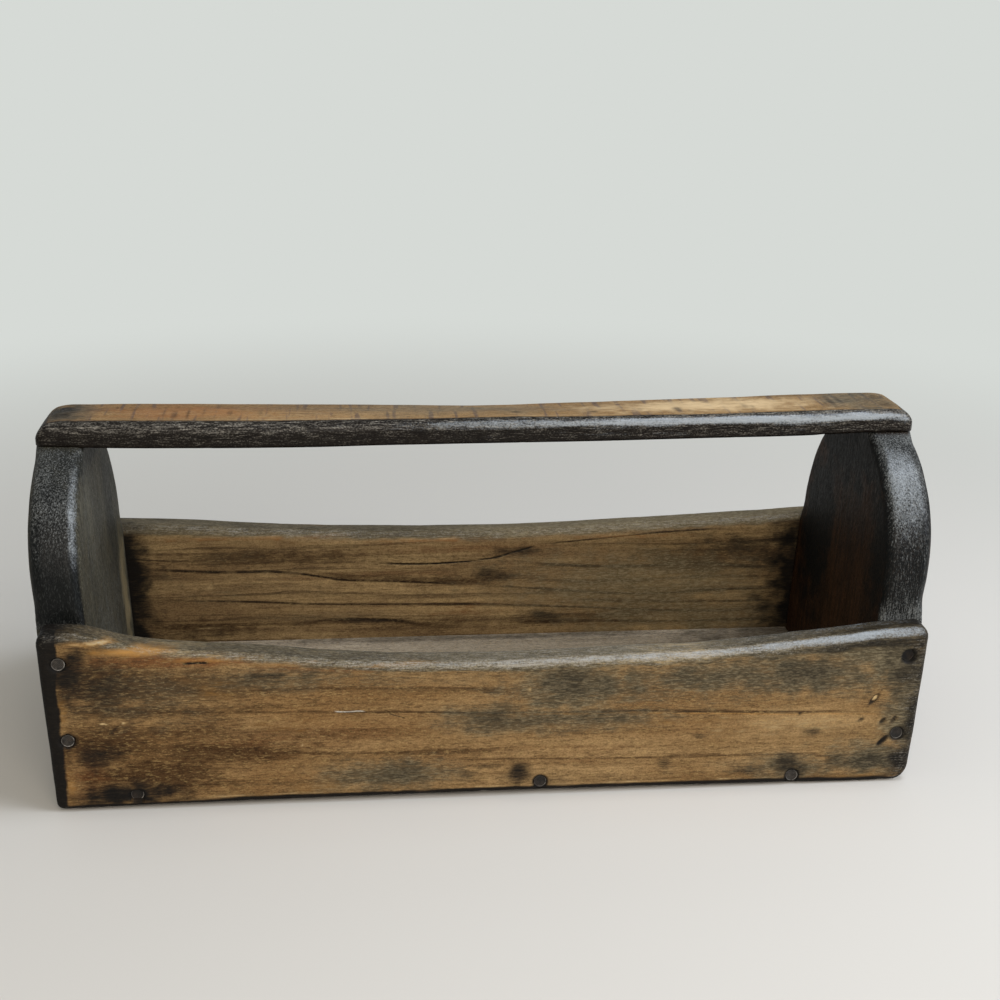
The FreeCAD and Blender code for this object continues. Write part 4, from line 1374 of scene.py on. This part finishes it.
backTraces = [
    ("line", 0.7, 2, 0.9, [(-205, 74), (-192, 72.4), (-170, 71.6)]),
    ("line", 1.3, 2, 1, [(-205, 67), (-159, 64.3), (-113, 63), (-78, 57.5), (-42, 55.5), (6, 51)]),
    ("stain", 2.6, 4, 0.7, [(-100, 64), (-78, 59.5), (-42, 57.5), (20, 52)]),
    (
        "line", 1.2, 3, 0.9,
        [(-205, 47), (-149, 44.5), (-78, 40.7), (5, 38.5), (60, 36), (111, 32), (204, 30)],
    ),
    ("line", 1.3, 3, 0.9, [(0, 51), (20, 50.5), (58, 46.8), (110, 43.4), (169, 45), (204, 45)]),
    ("stain", 1.9, 3, 0.7, [(-205, 26), (-150, 29), (-87, 29.1), (-64, 30.2), (-24, 25.5), (6, 22.5)]),
    ("line", 1.4, 2, 0.8, [(-100, 29.6), (-64, 30.6), (-30, 26.5)]),
    ("stain", 1.6, 4, 1, [(20, 24.6), (82, 25.4), (115, 24.3), (204, 24)]),
    ("stain", 1.8, 6, 0.7, [(30, 55), (90, 52), (150, 54), (204, 52)]),
    ("stain", 1.2, 5, 0.9, [(60, 40), (120, 38), (204, 37)]),
    ("line", 1.4, 4, 0.9, [(30, 66), (100, 62), (148, 63), (178, 60), (204, 60)]),
    ("line", 0.6, 5, 0.4, [(-205, 36), (-120, 35), (-60, 33), (40, 30)]),
    ("crack", 0.9, 1.5, 1, [(-55, 67.6), (-24, 66.6), (8, 68.2)]),
    ("crack", 0.9, 1, 1, [(4, 68.4), (17, 69.9), (28, 73.1), (42, 77.2)]),
    ("line", 0.8, 1, 0.9, [(40, 77.8), (74, 80.4), (116, 84), (160, 86)]),
]

# The front: oiled and handled pine, warm tan with black smudges
frontLook = {"name": "agedPineFront", "tilt": -2, "traces": frontTraces, "middleY": -82.6}

# The back: the same pine, duller and browner, with dark growth lines and cracks
backLook = {
    "name": "agedPineBack",
    "weather": "#62573f",
    "weatherPale": "#857a60",
    "light": "#a38a60",
    "mid": "#6a543a",
    "dark": "#7e6645",
    "streaks": 0.55,
    "lines": 0.6,
    "fleck": "#9a8258",
    "flecks": 0.28,
    "pores": 0.3,
    "fibres": 0.25,
    "line": "#1d130a",
    "stain": "#33210f",
    "gold": "#97683a",
    "traces": backTraces,
    "middleY": 82.6,
}

# The bottom: pine under years of pale dust, so that its grain hardly shows
bottomLook = {
    "name": "dustyPine",
    "light": "#b8ab95",
    "mid": "#968a76",
    "dark": "#a29681",
    "line": "#4a4338",
    "weather": "#857d6d",
    "weatherPale": "#b0a794",
    "pith": (0, 20, -60),
}

# The ends: pine gone dark with soot and oil. The left one is grey-green inside, the right one red-brown and
# darker, its darkness partly a painted shade on an inside face that looks away from the light
endLook = {
    "grain": "z",
    "pith": (-190, 10, 0),
    "light": "#555142",
    "mid": "#2f2d25",
    "dark": "#3b382d",
    "line": "#1b1914",
    "streaks": 0.75,
    "mottled": 0.5,
    "fleck": "#8a8570",
    "flecks": 0.35,
    "weather": "#37362e",
    "weatherPale": "#57554a",
    "grimePale": "#282a29",
    "dustMost": 0.6,
    "waveLong": 120,
    "roughness": (0.45, 0.7),
    "speckLong": 2.6,
    "bare": "#7d6f52",
    "grime": "#0d0f0f",
    "dust": "#999c99",
}
leftLook = {"name": "sootyPineLeft"}
rightLook = {
    "name": "sootyShadedPineRight",
    "light": "#4e3420",
    "mid": "#2c1d11",
    "dark": "#352216",
    "specular": 0.1,
    "line": "#0f0905",
    "fleck": "#5a4c3a",
    "flecks": 0.2,
    "grimePale": "#1f1b17",
    "pith": (190, 10, 0),
}

# The handle: pine polished by hands, pale gold on top between near-black edges
handleLook = {
    "name": "handledPine",
    "light": "#a5855a",
    "mid": "#8c6c44",
    "dark": "#8a6b43",
    "line": "#5d4329",
    "weather": "#5b5645",
    "weatherPale": "#89816b",
    "bare": "#d0b488",
    "gold": "#b07c48",
    "warm": "#8e5c33",
    "stain": "#5a4230",
    "chatterMost": 0.8,
    "grime": "#0c0a09",
    "grimePale": "#1d1a16",
    "pith": (0, 10, 150),
}

makeSide(frontBoard, agedPine({**pineCommon, **frontLook}))
makeSide(backBoard, agedPine({**pineCommon, **backLook}))
makeEnd(leftEnd, agedPine({**pineCommon, **endLook, **leftLook}))
makeEnd(rightEnd, agedPine({**pineCommon, **endLook, **rightLook}))
makeBottom(bottomPlank, agedPine({**pineCommon, **bottomLook}))
makeHandle(handleBar, agedPine({**pineCommon, **handleLook}))
print("scene: boards")

steel = blackSteel(steelFinish)
# The way each nail was driven in
ways = {
    "front_nail": (0, 1, 0),
    "back_nail": (0, -1, 0),
    "left_end_nail": (math.cos(leanAngle), 0, math.sin(leanAngle)),
    "right_end_nail": (-math.cos(leanAngle), 0, math.sin(leanAngle)),
    "handle_nail": (0, 0, -1),
}
for seed, node in enumerate(sorted(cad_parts)):
    for start, way in ways.items():
        if node.startswith(start):
            makeNail(node, way, seed, steel)
print("scene: nails")
